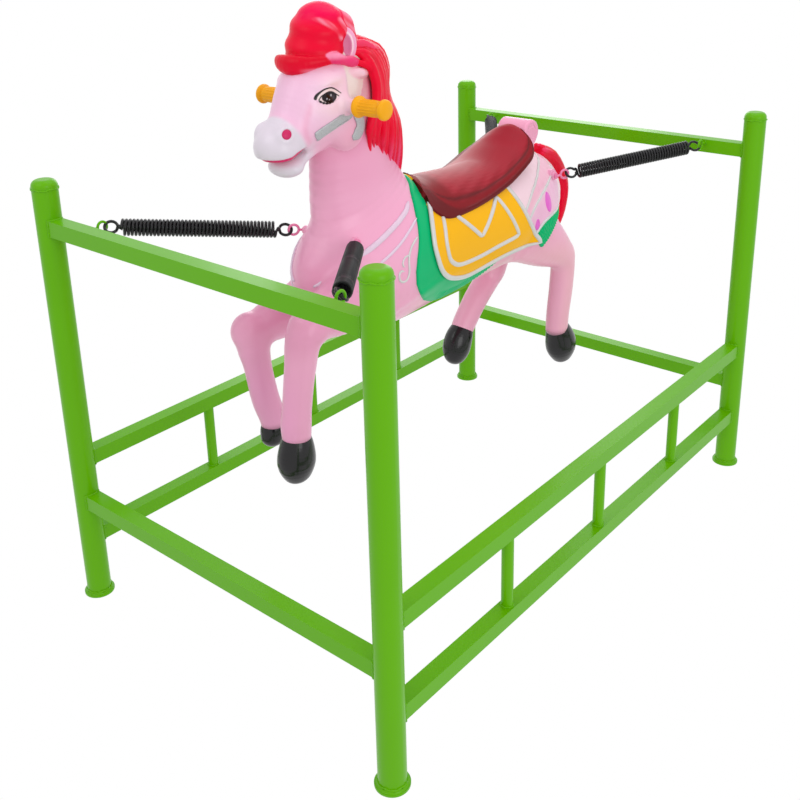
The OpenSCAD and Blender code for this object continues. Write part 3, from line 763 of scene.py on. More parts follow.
def strand(centre, radius, more):
    """Tapering strand that runs on past its path by more."""
    out = centre[-1] - centre[-3]
    out = out / max(np.linalg.norm(out), 1e-6) + np.array([0, 0, -0.25])
    centre = np.vstack([centre, [centre[-1] + out * more * f for f in (0.35, 0.7, 1.0)]])
    t = np.linspace(0, 1, len(centre))
    r = radius * (0.6 + 0.4 * step(t, 0, 0.2)) * (1 - 0.9 * t ** 2.4) + 0.0005
    return Strand(np.column_stack([centre, r]), raw=True)


def tip_length(k, tips, phase):
    """How far strand k runs on, between the two lengths in tips."""
    return tips[0] + (tips[1] - tips[0]) * (0.5 + 0.5 * math.sin(k * 2.4 + phase))


def bundle(rows, count, radius, spread, turn, start, phase=0.7):
    """Strands that follow the stations, laid round them from angle start."""
    base = smooth_rows(mm(rows), 3)
    tan = units(np.gradient(base[:, :3], axis=0))
    depth = units(np.stack([0 * tan[:, 0], -tan[:, 2], tan[:, 1]], 1))
    t = np.linspace(0, 1, len(base))
    strands = []
    for k in range(count):
        a = start + 2 * math.pi * (k + 0.5) / count + turn * (t - 0.3) + 0.10 * np.sin(t * 5 + k * 1.7)
        w = spread * (0.94 + 0.06 * math.sin(k * 3.1))
        across = np.outer(np.cos(a) * base[:, 3] * w, [1, 0, 0])
        centre = base[:, :3] + across + depth * (np.sin(a) * base[:, 4] * w)[:, None]
        strands.append(strand(centre, radius / 1000, tip_length(k, (0.0, 0.03), phase)))
    return strands


def sheet(front, rear, count, radius, lift, tips, phase=0.7):
    """Strands side by side between two paths in mm on the horse."""
    a, b = smooth_rows(np.array(front, float), 3), smooth_rows(np.array(rear, float), 3)
    t = np.linspace(0, 1, len(a))
    strands = []
    for k in range(count):
        f = (k + 0.5) / count
        path = (a + (b - a) * f) / 1000
        path[:, 2] += HANG
        path[:, 0] += (lift * math.sin(math.pi * f) + 0.0012 * math.sin(k * 3.7)
                       + 0.0015 * np.sin(t * 6 + k * 2.1))
        path[:, 1] += 0.0022 * np.sin(t * 5 + k * 1.3) * t
        strands.append(strand(path, radius / 1000, tip_length(k, tips, phase)))
    return strands


def tuft(core, strands, soft):
    def field(P):
        d = core(P)
        for lock in strands:
            d = smin(d, lock(P), soft)
        return d
    return field


MANE_ROWS = [
    [0, -262, 419, 28, 20], [2, -230, 410, 29, 23], [4, -203, 380, 28, 24], [6, -190, 326, 26, 24],
    [8, -178, 262, 24, 22], [8, -168, 206, 18, 15]]
MANE_CORE = [[x, y, z, w * 0.85, d * 0.85] for x, y, z, w, d in MANE_ROWS]
MANE_FRONT = [(38, -288, 420), (54, -270, 404), (63, -258, 370), (66, -256, 334), (66, -272, 296),
              (65, -276, 282), (62, -274, 274)]
MANE_REAR = [(4, -232, 430), (20, -199, 414), (23, -180, 377), (21, -178, 329), (34, -160, 275),
             (34, -154, 220), (15, -138, 170)]
TAIL_ROWS = [
    [0, 372, 112, 25, 14], [0, 418, 87, 24, 16], [0, 452, 45, 25, 17], [0, 468, 0, 25, 17],
    [0, 465, -50, 20, 14], [0, 455, -84, 14, 10]]
TAIL_CORE = [[x, y, z, w * 0.8, d * 0.8] for x, y, z, w, d in TAIL_ROWS[:-1]]
FORELOCK = Loft([[0, -340, 400, 50, 50], [0, -334, 430, 50, 50], [0, -325, 450, 50, 48],
                 [0, -322, 459, 48, 45]], (0.014, 0.028))
FRONT_ROLL = Strand([(-55, -366, 413, 0.8), (-48, -376, 411, 3.5), (-36, -386, 408, 8.5),
                     (-18, -393, 405, 13), (4, -394, 404, 14.5),
                     (24, -386, 406, 12), (40, -368, 409, 8), (50, -346, 411, 6), (54, -328, 412, 4)], 3,
                     1.2)
EAR_ROLL = Strand([(48, -352, 416, 5), (54, -340, 413, 10), (55, -322, 407, 8), (54, -304, 403, 10),
                   (50, -284, 399, 6)], 3)
QUIFF = [Strand(rows, 4) for rows in (
    [(0, -322, 487, 8), (22, -302, 481, 9), (36, -291, 470, 9), (41, -286, 450, 7), (44, -278, 436, 3)],
    [(4, -340, 483, 7), (30, -322, 476, 8), (42, -312, 463, 7), (46, -302, 446, 4)],
    [(0, -354, 476, 6), (26, -348, 472, 7), (42, -336, 461, 6), (48, -322, 444, 4)],
    [(-12, -308, 478, 8), (10, -293, 470, 9), (24, -284, 454, 8), (30, -276, 438, 5)],
    [(-20, -304, 470, 9), (-14, -288, 454, 11), (-6, -277, 438, 9), (0, -268, 428, 7)])]


RIDGE_PITCH = 0.036  # between the waves of the forelock


def forelock_field(P):
    y, z = P[:, 1], P[:, 2] - HANG
    d = smax(FORELOCK(P), 0.403 - z, 0.006)
    ridge = np.sin((z + 0.16 * P[:, 0] + 0.08 * y) * 2 * math.pi / RIDGE_PITCH + 1.0)
    d = d - 0.0019 * ridge * step(z, 0.41, 0.43) * fade(z, 0.475, 0.495) * fade(y, -0.30, -0.27)
    for lock in QUIFF:
        d = smin(d, lock(P), 0.005)
    d = smin(d, FRONT_ROLL(P), 0.003)
    return smin(d, EAR_ROLL(P), 0.003)


MANE_STRANDS = bundle(MANE_ROWS, 13, 8.5, 0.86, 0.4, 0.2)
MANE_SIDE = sheet(MANE_FRONT, MANE_REAR, 13, 8.5, 0.004, (0.006, 0.042))
MANE_OVER = sheet(MANE_FRONT, MANE_REAR, 8, 6.5, 0.009, (0.004, 0.040), 2.6)
TAIL_STRANDS = bundle(TAIL_ROWS, 11, 9, 0.84, 0.6, 0.1, 0.3)
BEHIND_EAR = [Strand(rows, 3) for rows in (
    [(50, -298, 402, 5), (57, -278, 396, 6), (62, -262, 386, 6), (65, -254, 366, 4)],
    [(44, -292, 416, 5), (50, -268, 414, 7), (54, -248, 398, 6), (56, -238, 376, 4)],
    [(36, -288, 426, 6), (40, -258, 428, 7), (42, -232, 414, 7), (44, -216, 390, 5)])]
MANE_ALL = MANE_STRANDS + MANE_SIDE + MANE_OVER + BEHIND_EAR
mane_field = tuft(Loft(MANE_CORE, (0.012, 0.01)), MANE_ALL, 0.003)
tail_field = tuft(Loft(TAIL_CORE, (0.008, 0.01)), TAIL_STRANDS, 0.004)


def ear_hollow(side):
    return Ball((side * 50, -315, 431), (14, 8, 23), 0, yaw=side * 40)


def ear_field(side):
    outer = Ball((side * 43.5, -306, 431), (20, 9, 30), 0, yaw=side * 40)
    root = Strand([(side * 42, -302, 398, 11), (side * 45, -302, 420, 10)], 1)
    hollow = ear_hollow(side)

    def field(P):
        return smax(smin(outer(P), root(P), 0.006), -hollow(P), 0.003)
    return field


# Horse: the pieces. Colours are sRGB from 0 to 255

PINK, WHITE, LILAC = (246, 173, 206), (228, 217, 230), (246, 198, 228)
MAGENTA, RED, ROSE, BLACK = (222, 32, 104), (240, 0, 50), (248, 96, 146), (16, 14, 18)
SIDES = ((1, "left"), (-1, "right"))


def verts_of(ob):
    co = np.zeros(len(ob.data.vertices) * 3, np.float32)
    ob.data.vertices.foreach_get("co", co)
    return co.reshape(-1, 3)


def layered(V, base, *layers):
    """Colours of the points V: base, for all or for each, with the layers mixed in by their shares."""
    c = np.tile(lin(*base), (len(V), 1)) if isinstance(base, tuple) else base
    for colour, share in layers:
        c = c + (lin(*colour) - c) * np.asarray(share)[:, None]
    return c


def moulded(name, field, lo, hi, h, mat, slot, *nodes, colours=None):
    """Piece of the horse meshed from a field. lo, hi and h are in mm on the horse."""
    ob = blob(name, field, lo, hi, h)
    if colours:
        paint(ob, colours(verts_of(ob)))
    finish_piece(ob, mat, "horse", slot, *nodes)


def swept(name, parts, mat, slot, *nodes):
    """Piece of the horse made of lines laid on it."""
    finish_piece(mesh_object(name, *join(parts)), mat, "horse", slot, *nodes)


def skin_paint(V):
    x, y, z = V[:, 0], V[:, 1] * 1000, (V[:, 2] - HANG) * 1000
    head = step(z, 235, 255) * fade(y, -300, -285) + step(z, 300, 330) * fade(y, -285, -262)
    head = np.clip(head, 0, 1)
    seam = np.exp(-((y + 324) / 1.3) ** 2) * step(z, 336, 344) * fade(z, 380, 388) * (np.abs(x) > 0.045)
    lids = bell(y, z, (-352, 374), (24, 11)) + bell(y, z, (-362, 334), (30, 11)) * 0.6
    # crease from the inner eye corner down toward the mouth, along which painted shade lies
    crease_shade_dist, _ = line_distance(y, z, np.array([[-396, 340], [-405, 322], [-411, 304], [-409, 290],
                                            [-401, 278]]))
    near_face = face(V)
    # painted shade on the neck under the jaw, darker the nearer the face
    painted_jaw_shade = np.exp(-np.maximum(near_face, 0) / 0.016) * (near_face > 0.0015) * step(z, 150, 200)
    layers = [
        ((240, 165, 200), step(z, 0, -120) * 0.5),
        ((246, 190, 196), step(z, -20, -110) * step(y, -250, -150) * 0.55),
        ((228, 150, 196), step(z, -60, -200) * 0.35 * fade(np.abs(x), 0.09, 0.11)),
        ((246, 188, 214), head),
        ((243, 168, 196), bell(y, z, (-312, 275), (42, 34)) * head * 0.8),
        (LILAC, np.clip(bell(y, z, (-405, 350), (60, 70)) * head * 1.1, 0, 0.9)),
        # pale lilac-white patch on the cheek below and behind the eye: painted highlight
        ((252, 222, 236), bell(y, z, (-350, 342), (38, 36)) * head * 0.8),
        ((240, 220, 216), step(y, -327, -321) * step(z, 318, 346) * fade(y, -270, -252)),
        ((248, 198, 214), fade(EAR_LOBE(mirrored(V)), 0.0005, 0.003)),
        ((196, 156, 184), seam * 0.7),
        ((250, 214, 224), np.clip(lids, 0, 1) * head * 0.8),
        # darker pink along the crease by the nose: painted shade
        ((236, 150, 186), np.exp(-(crease_shade_dist / 6) ** 2) * head * step(-y, 392, 400) * 0.45),
        # darker pink under the jaw: painted shade
        ((226, 124, 168), painted_jaw_shade * 0.6),
        # darker pink over the chest: painted shade
        ((228, 144, 182), step(-y, 318, 352) * fade(z, 40, 90) * step(z, -90, -40) * 0.5),
        (WHITE, head * step(-y - 0.544 * z, 255, 265)),
        (WHITE, fade(z, 236, 262) * fade(y, -388, -368) * step(z, 190, 205)),
        (WHITE, bell(y, z, (-398, 258), (16, 16)) * 0.8 * head)]
    for rows in HOOVES.values():
        top = rows[0]
        near = np.sqrt((x * 1000 - top[0]) ** 2 + (y - top[1]) ** 2) < 45
        lift = z - top[2]
        layers += [((150, 90, 112), fade(lift, -4, 13) * near * 0.6), (BLACK, fade(lift, -16, 6) * near)]
    return layered(V, PINK, *layers)


moulded("horse_skin", horse_field, (-124, -545, -335), (124, 432, 470), 2.6,
        material("horse_gloss", None, 0.32, coat=0.12, coat_rough=0.12, vary=0.015, scale=9, bump=0.03),
        "horse_skin", "torso_shell", "neck_shell", "head_shell", "lower_jaw",
        "front_left_leg", "front_right_leg", "rear_left_leg", "rear_right_leg", colours=skin_paint)
moulded("mouth_inside", mouth_field, (-52, -500, 235), (52, -400, 290), 1.6,
        material("mouth_paint", MAGENTA, 0.3, coat=0.2, vary=0.05), "horse_skin")
moulded("nostrils", nostril_field, (-52, -466, 284), (52, -436, 316), 0.9,
        material("nostril_paint", MAGENTA, 0.4, vary=0.08, dim=0.85), "horse_skin")


def eye_paint(V):
    P = V.astype(np.float64)
    y, z = P[:, 1] * 1000, (P[:, 2] - HANG) * 1000
    iris = np.hypot((y + 364) / 15.6, (z - 351.5) / 9.6)
    layers = [
        ((248, 224, 226), fade(region(P, EYE_RIM), -0.001, 0.0005)),
        ((20, 10, 16), fade(iris, 0.93, 1.03)),
        # soft grey patch in the iris: painted reflection
        ((74, 66, 74), bell(y, z, (-357, 350), (5, 4)) * 0.8 * fade(iris, 0.80, 0.95))]
    # three pale grey glints on the iris: painted highlights
    for at_y, at_z, size in ((-361, 354, 2.2), (-370, 349, 1.6), (-365, 347, 1.2)):
        shine = np.hypot((y - at_y) / size, (z - at_z) / size)
        layers.append(((186, 182, 190), fade(shine, 0.6, 1.2) * 0.85))
    lash, along = line_distance(P[:, 1], P[:, 2], curve(LASH, 5))
    thick = np.interp(along, (0, 0.010, 0.030, 0.058), (0.0020, 0.0016, 0.0012, 0.0007))
    lid, _ = line_distance(P[:, 1], P[:, 2], curve(LID, 5))
    low, run = line_distance(P[:, 1], P[:, 2], curve(LOWER, 4))
    teeth = 0.0006 + 0.0010 * np.abs(np.sin(run * 520))
    layers += [
        (BLACK, fade(lash - thick, -0.0003, 0.0006)),
        (BLACK, fade(lid, 0.0006, 0.0014)),
        (BLACK, fade(low - teeth, 0.0, 0.0009) * fade(run, 0.026, 0.036))]
    return layered(V, skin_paint(V), *layers)


moulded("eyes", eye_field, (-72, -404, 330), (72, -330, 378), 0.9,
        material("eye_gloss", None, 0.16, coat=0.12, coat_rough=0.04, vary=0.01, spec=0.2),
        "eye_black", "horse_eyes", colours=eye_paint)


def hair_paint(V, strands, tip_z, top_z):
    """Red, with rose on the crests of every other strand toward the tips and, above top_z, at the roots,
    which is partly pink streaks and partly painted highlight; the grooves between strands get a darker red,
    which is painted shade.
    """
    P = V.astype(np.float32)
    best = np.full(len(P), VERY_FAR)
    which = np.zeros(len(P), int)
    for k, lock in enumerate(strands):
        d = lock(P)
        m = d < best
        best = np.where(m, d, best)
        which = np.where(m, k, which)
    z = (P[:, 2] - HANG) * 1000
    low = fade(z, tip_z - 20, tip_z + 75)
    high = step(z, top_z, top_z + 16)
    pale = np.where(which % 2 == 0, 0.95, 0.15)
    ridge = fade(best, 0.0002, 0.0012)
    # rose on the strand crests: partly pink streaks, partly painted highlight
    return layered(V, RED, (ROSE, pale * np.maximum(low, high * 0.45) * ridge),
                   # darker red off the crests, in the grooves between strands: painted shade
                   ((196, 0, 30), (1 - ridge) * 0.45))


def forelock_paint(V):
    x, z = V[:, 0], (V[:, 2] - HANG) * 1000
    on_roll = fade(FRONT_ROLL(V), 0.0005, 0.002)
    on_ear = fade(EAR_ROLL(V), 0.0008, 0.003)
    on_quiff = fade(np.min([lock(V) for lock in QUIFF[:3]], axis=0), 0.0003, 0.0025)
    # banding that breaks up the painted highlight on the quiff
    sheen_streak = 0.5 + 0.5 * np.sin(V[:, 2] * 420 + V[:, 1] * 260 + V[:, 0] * 300)
    return layered(
        V, RED,
        # magenta-pink top of the dome: partly the paint's own tone, partly painted sheen where it faces up
        ((250, 0, 84), step(z, 462, 488) * 0.9),
        # darker red low on the dome, just above the rolls: painted shade
        ((214, 0, 32), np.exp(-((z - 414) / 12) ** 2) * 0.6),
        # darker red on the underside of the front roll: painted shade
        ((222, 0, 50), on_roll * fade(z, 386, 398)),
        # pale pink along the lower edge of the roll on the left side: painted highlight
        ((250, 150, 180), on_roll * fade(z, 394, 402) * step(x, 0.020, 0.040) * 0.8),
        ((240, 58, 118), on_ear),
        # paler top of the ear roll: painted highlight
        ((252, 156, 190), on_ear * step(z, 408, 418) * 0.8),
        # pale pink strokes on the quiff strands on the left side: painted highlight
        ((252, 150, 176), on_quiff * step(x, 0.008, 0.024) * (0.25 + 0.6 * sheen_streak)))


def ear_paint(V, hollow):
    deep = hollow(V)
    rim = step(deep, 0.0008, 0.0016) * fade(deep, 0.0030, 0.0042) * step(V[:, 2], HANG + 0.41, HANG + 0.42)
    return layered(V, (244, 168, 204), ((222, 138, 182), fade(deep, 0.0004, 0.0016)),
                   ((252, 214, 228), rim))


hair = material("hair_gloss", None, 0.34, coat=0.03, coat_rough=0.2, vary=0.04, scale=30, fine=0.06,
                fine_scale=260, spec=0.12)
moulded("mane_form", mane_field, (-48, -305, 95), (84, -112, 462), 2.2, hair, "hair", "mane",
        colours=lambda V: hair_paint(V, MANE_ALL, 200, 404))
moulded("tail_form", tail_field, (-44, 362, -130), (44, 512, 146), 2.2, hair, "hair", "tail",
        colours=lambda V: hair_paint(V, TAIL_STRANDS, -120, 102))
moulded("forelock_form", forelock_field, (-78, -432, 370), (78, -222, 516), 2.0, hair, "hair", "forelock",
        colours=forelock_paint)
ear_gloss = material("ear_gloss", None, 0.34, coat=0.1, vary=0.03)
for side, word in SIDES:
    lo, hi = sorted((side * 18, side * 78))
    moulded("ear_form_" + word, ear_field(side), (lo, -340, 380), (hi, -270, 470), 1.3, ear_gloss,
            "ear_skin", "ear_" + word, colours=lambda V: ear_paint(V, ear_hollow(side)))
hoof_gloss = material("hoof_gloss", BLACK, 0.24, coat=0.12, coat_rough=0.1, vary=0.3, scale=25, bump=0.10,
                      dim=0.8)
for leg, rows in HOOVES.items():
    r = np.array(rows)
    pad = r[:, 3:].max() + 14
    moulded(leg + "_hoof_form", Loft(rows, (0.004, 0.013)), r[:, :3].min(0) - pad, r[:, :3].max(0) + pad,
            2.0,
            hoof_gloss, "hoof_black", leg + "_hoof")

# Cloths


def rump_paint(V):
    V = V.astype(float)
    y, z = V[:, 1], V[:, 2]
    band = inside(y, z, np.vstack([LINE_1, LINE_2[::-1]]))
    lower = inside(y, z, np.vstack([LINE_2, LINE_3[::-1]]))
    line, _ = line_distance(y, z, LINE_2)
    return layered(V, (248, 214, 226), ((244, 182, 206), band * 0.9), ((242, 182, 216), lower * 0.9),
                   ((252, 224, 232), fade(line, 0.004, 0.012) * 0.3))


X0, X1 = -126, 126
green = material("under_green_gloss", (0, 186, 116), 0.34, coat=0.04, vary=0.06, scale=14, spec=0.12)
moulded("under_cloth_form", under_field, (X0, -214, -112), (X1, 232, 152), 2.2, green, "under_green",
        "under_cloth")
moulded("saddle_cloth_form", yellow_field, (X0, -164, -72), (X1, 232, 152), 2.2,
        material("cloth_yellow_gloss", (254, 186, 0), 0.32, coat=0.05, vary=0.04, scale=10, spec=0.14),
        "cloth_yellow", "saddle_cloth")
moulded("rump_cloth_form", rump_field, (X0, 118, -66), (X1, 400, 158), 2.4,
        material("rump_gloss", None, 0.30, coat=0.14, vary=0.02, scale=10), "rump_pink", "rump_cloth",
        colours=rump_paint)
moulded("rump_fringe", wedge_field, (X0, 200, -76), (X1, 336, 14), 1.6, green, "under_green")
moulded("rump_ovals", ovals_field, (X0, 200, -30), (X1, 282, 62), 1.4,
        material("oval_paint", (232, 96, 206), 0.3, coat=0.3), "rump_pink")


def on_surface(field, pts, offset, side):
    """Points of the surface under side-view points, with their normals."""
    pts = np.asarray(pts, float)
    xs = np.arange(0.150, 0.0, -0.0015)
    n, m = len(pts), len(xs)
    P = np.zeros((n, m, 3))
    P[..., 0] = side * xs
    P[..., 1:] = pts[:, None]
    f = field(P.reshape(-1, 3).astype(np.float32)).reshape(n, m) - offset
    hit = np.argmax(f < 0, axis=1)
    ok = (f < 0).any(1) & (hit > 0)
    i = np.arange(n)[ok]
    k = hit[ok]
    a, b = f[i, k - 1], f[i, k]
    x = xs[k - 1] + (xs[k] - xs[k - 1]) * a / np.maximum(a - b, 1e-9)
    Q = np.column_stack([side * x, pts[ok]])
    return Q, units(gradient(field, Q))


def ribbon(field, pts, half_w, half_h, offset, steps=7, sides=10, power=1.0, taper=0.08):
    """Raised line laid on both sides of a surface along side-view points."""
    parts = []
    for side in (1, -1):
        Q, N = on_surface(field, curve(pts, steps), offset, side)
        if len(Q) >= 4:
            width = half_w * tapered(len(Q), taper, 0.6)
            parts.append(tube_arrays(Q, width, half_h, sides, up=N, power=power))
    return join(parts)


silver = material("silver_paint", (216, 214, 214), 0.30, metal=0.10, coat=0.25, vary=0.08, scale=40,
                  fine=0.2,
                  fine_scale=1200)
FRONT_EDGE = flat([[-92, 150]] + YELLOW_LOW + [[222, -50]])
BACK_EDGE = flat([[222, -50], [198, -20], [170, 16], [134, 84], [118, 130]])
INNER = flat([[-98, 100], [-108, 70], [-114, 39], [-108, 8], [-92, -10], [-63, -21], [-2, -22], [60, -17],
              [120, -13], [136, -8]])
ZIGZAG = flat([[136, -10], [82, 82], [2, 20], [-66, 80], [-98, 100]])
swept("silver_lines",
      [ribbon(body, FRONT_EDGE, .0056, .0036, YELLOW_T), ribbon(body, BACK_EDGE, .0054, .0036, YELLOW_T),
       ribbon(body, INNER, .0050, .0032, YELLOW_T)]
      + [ribbon(body, np.linspace(a, b, 6), .0050, .0032, YELLOW_T, steps=4) for a,
         b in zip(ZIGZAG[:-1], ZIGZAG[1:])]
      + [ribbon(body, pts, .0034, .0022, RUMP_T) for pts in (LINE_1, LINE_2, LINE_3)],
      silver, "silver")

COLLAR = flat([[-176, 126], [-190, 115], [-220, 102], [-248, 91], [-287, 75], [-325, 59], [-352, 44],
               [-372, 30], [-392, 12]])
COLLAR_LOW = flat([[-172, 96], [-196, 84], [-232, 66], [-270, 50], [-310, 34], [-345, 18], [-372, 2],
                   [-392, -12]])
SCROLL = flat([[-186, 66], [-197, 60], [-210, 51], [-219, 40], [-223, 26], [-224, 8], [-230, -4],
               [-242, -6], [-250, 0], [-252, 10], [-246, 16], [-239, 14]])
CURL = flat([[-219, 40], [-232, 38], [-240, 30], [-238, 22]])
swept("breast_collar_form",
      [ribbon(trunk, COLLAR, .0056, .0034, .0004), ribbon(trunk, COLLAR_LOW, .0030, .0018, .0006)],
      material("collar_pearl", (232, 206, 228), 0.26, coat=0.4, vary=0.03), "silver", "breast_collar")
swept("collar_scroll", [ribbon(body, SCROLL, .0024, .0020, .0004), ribbon(body, CURL, .0020, .0018, .0004)],
      silver, "silver")

CHEEK_STRAP = flat([[-391, 285], [-383, 290], [-369, 297], [-349, 305], [-329, 313], [-313, 321]])
JAW_STRAP = flat([[-308, 324], [-299, 312], [-294, 300], [-295, 288], [-303, 278], [-314, 272]])
strap_edges = [curve(CHEEK_STRAP, 7)[5:-5] + np.array([0.3, 1.0]) * shift for shift in (-0.0088, 0.0088)]
swept("bridle_form",
      [ribbon(bare_face, CHEEK_STRAP, .0098, .0022, .0006, power=0.7, sides=14),
       ribbon(bare_face, JAW_STRAP, .0132, .0026, .0004, power=0.7, sides=14, taper=0.22)]
      + [ribbon(bare_face, edge, .0011, .0012, .0024, steps=1) for edge in strap_edges],
      material("bridle_glitter", (182, 184, 188), 0.42, metal=0.2, coat=0.1, vary=0.3, scale=520, fine=0.5,
               fine_scale=900), "silver", "bridle")

# Saddle: y, half width, height of the middle, height of the edge, how far the flaps reach forward
SADDLE = smooth_rows([
    [-99, 60, 136, 122, 26], [-88, 82, 139, 104, 36], [-56, 97, 140, 84, 34], [0, 98, 138, 84, 16],
    [70, 95, 134, 92, 4], [140, 92, 140, 108, 0], [200, 88, 160, 130, 0], [232, 81, 177, 142, 0],
    [250, 68, 188, 157, 0], [258, 52, 191, 170, 0], [262, 32, 192, 182, 0]], 8)
ACROSS, BEND = 56, 8  # points over the top of a ring, and down each of its edges
EDGE_R = 4.5


def saddle_ring(row):
    y, w, mid, edge, reach = row
    k = np.linspace(-1, 1, ACROSS)
    crown = edge + (mid - edge) * (1 - k ** 2)
    dish = 3.0 * np.exp(-(k / 0.55) ** 2) * step(y, -60, 40) * fade(y, 190, 262)
    lip = 1.6 * np.exp(-((np.abs(k) - 0.93) / 0.05) ** 2)
    groove = -1.0 * np.exp(-((np.abs(k) - 0.83) / 0.018) ** 2)
    groove = groove - 0.7 * np.exp(-((np.abs(k) - 0.77) / 0.014) ** 2) * step(y, -70, 10)
    top = np.column_stack([w * k * 0.965, crown - dish + lip + groove])
    a = np.linspace(math.pi / 2, -math.pi / 2, BEND + 1)[1:]
    drop = edge - EDGE_R + (EDGE_R + 1.2) * np.sin(a)
    outer = np.column_stack([w * 0.965 + EDGE_R * 0.8 * np.cos(a), drop])
    under = np.array([[w * 0.80, edge - 9.5], [w * 0.60, edge - 30], [w * 0.30, edge - 45]])
    right = np.vstack([outer, under])
    ring = np.vstack([top, right, right[::-1] * [-1, 1]])
    return np.column_stack([-ring[:, 0], y - reach * (ring[:, 0] / w) ** 2, ring[:, 1]])


def saddle_arrays():
    """Rings along the saddle, domed at both ends, with the flaps draped on the cloth."""
    rings = np.array([saddle_ring(row) for row in SADDLE])
    ends = []
    for row, sign in ((rings[0], -1), (rings[-1], 1)):
        centre = row.mean(0) - [0, 0, 4]
        extra = []
        for f in (0.45, 0.8, 1.0):
            size = max(math.sqrt(1 - f * f), 0.02)
            extra.append(centre + (row - centre) * [size, 1, size] + [0, sign * f * 7.0, 0])
        ends.append(np.array(extra))
    rings = np.concatenate([ends[0][::-1], rings, ends[1]])
    count, per = rings.shape[:2]
    V = rings.reshape(-1, 3) / 1000 + [0, 0, HANG]
    half = BEND // 2
    shell = np.r_[np.ones(ACROSS + half), np.zeros(per - ACROSS - 2 * half), np.ones(half)]
    shell = np.tile(shell, count) > 0
    for _ in range(3):
        low = 0.0045 - (body(V.astype(np.float32)) - YELLOW_T)
        n = units(gradient(body, V))
        V = V + n * (np.where(shell & (V[:, 1] < 0.16), np.clip(low, 0, 0.02), 0))[:, None]
    return V, ring_quads(count, per)[:, ::-1]


def saddle_paint(V):
    V = V.astype(float)
    x, y = V[:, 0] * 1000, V[:, 1] * 1000
    k = np.abs(x) / np.maximum(np.interp(y, SADDLE[:, 0], SADDLE[:, 1]), 1)
    brush = 0.05 * np.sin(x * 0.31 + y * 0.11) + 0.035 * np.sin(x * 0.83 - y * 0.05)
    seat = fade(k + brush, 0.66, 0.90) * step(y + 40 * brush, -62, -30)
    # paler streaks across the seat: partly brushed paint, partly painted sheen
    brushed_sheen = seat * fade(np.abs(k - 0.45 + 2 * brush), 0.05, 0.3) * fade(y, 60, 200)
    return layered(V, (134, 14, 26), ((162, 28, 45), seat), ((176, 52, 64), brushed_sheen * 0.7),
                   ((72, 12, 18), np.exp(-((k - 0.83) / 0.03) ** 2) * 0.7),
                   ((96, 16, 22), step(k, 0.94, 0.99) * 0.8))


saddle = mesh_object("saddle_form", *saddle_arrays())
paint(saddle, saddle_paint(verts_of(saddle)))
finish_piece(saddle, material("saddle_gloss", None, 0.40, coat=0.02, coat_rough=0.12, vary=0.08, scale=26,
                              bump=0.08, spec=0.12), "horse", "saddle_wine", "saddle")


def roll_field(P):
    x, y, z = P[:, 0] * 1000, P[:, 1] * 1000 - 292, (P[:, 2] - HANG) * 1000 - 172
    r = np.hypot(y, z)
    d = smax(r - 28, np.abs(x) - 38, 6)
    ring = np.hypot(r - 15, np.abs(x) - 38.5) - 2.2
    d = smax(d, -ring, 1.5)
    flap = smax(np.abs(x) - 35, np.hypot(y + 4, np.maximum(np.abs(z + 30) - 22, 0)) - 20, 5)
    return smin(d, flap, 5) / 1000


moulded("bedroll_form", roll_field, (-54, 256, 108), (54, 326, 206), 1.8,
        material("roll_gloss", (246, 166, 198), 0.30, coat=0.14, vary=0.03,
                 scale=20), "roll_pink", "bedroll")

# Grips: radius and distance from the middle plane in mm, ribbed along the barrel
GRIP_PROFILE = [
    [8.2, 86], [16.5, 86], [18.4, 87.4], [19, 89.8], [18.4, 92.4], [16.8, 94.6], [15, 96.6], [14.2, 99.5],
    [14, 104], [14, 136], [14.4, 139.5], [16, 141.6], [17.4, 143.6], [17.9, 146.2], [17.2, 149.2],
    [15.0, 151.4], [10, 152.8], [5, 153.4], [0.05, 153.6]]
GRIP_AT = np.array([0, -0.326, 0.332 + HANG])
GRIP_RIBS = 16
grips = material("grip_yellow", (248, 172, 2), 0.44, coat=0.04, vary=0.05, scale=50, fine=0.15,
                 fine_scale=700,
                 spec=0.25)
for side, word in SIDES:
    v, q = lathe(smooth_rows(GRIP_PROFILE, 3) / 1000, GRIP_AT, (side, 0, 0), 96)
    d = v - GRIP_AT
    r = np.hypot(d[:, 1], d[:, 2])
    a = np.arctan2(d[:, 2], d[:, 1])
    out = np.abs(d[:, 0])
    wave = 0.0007 * np.cos(a * GRIP_RIBS) * step(out, 0.095, 0.099) * fade(out, 0.133, 0.137)
    v[:, 1:] += (d[:, 1:] / np.maximum(r, 1e-6)[:, None]) * wave[:, None]
    finish_piece(mesh_object("grip_form_" + word, v, q), grips, "horse", "grip_yellow", "grip_" + word)

# Springs: wire wound close, a hook at each end
EYE_R, WIRE_R, COIL_R, LOOP_R = 0.007, 0.0028, 0.0133, 0.0115
HOOK = 0.034  # from the ring eye to the first turn
TURNS = 42


def unit(v):
    v = np.asarray(v, float)
    return v / np.linalg.norm(v)


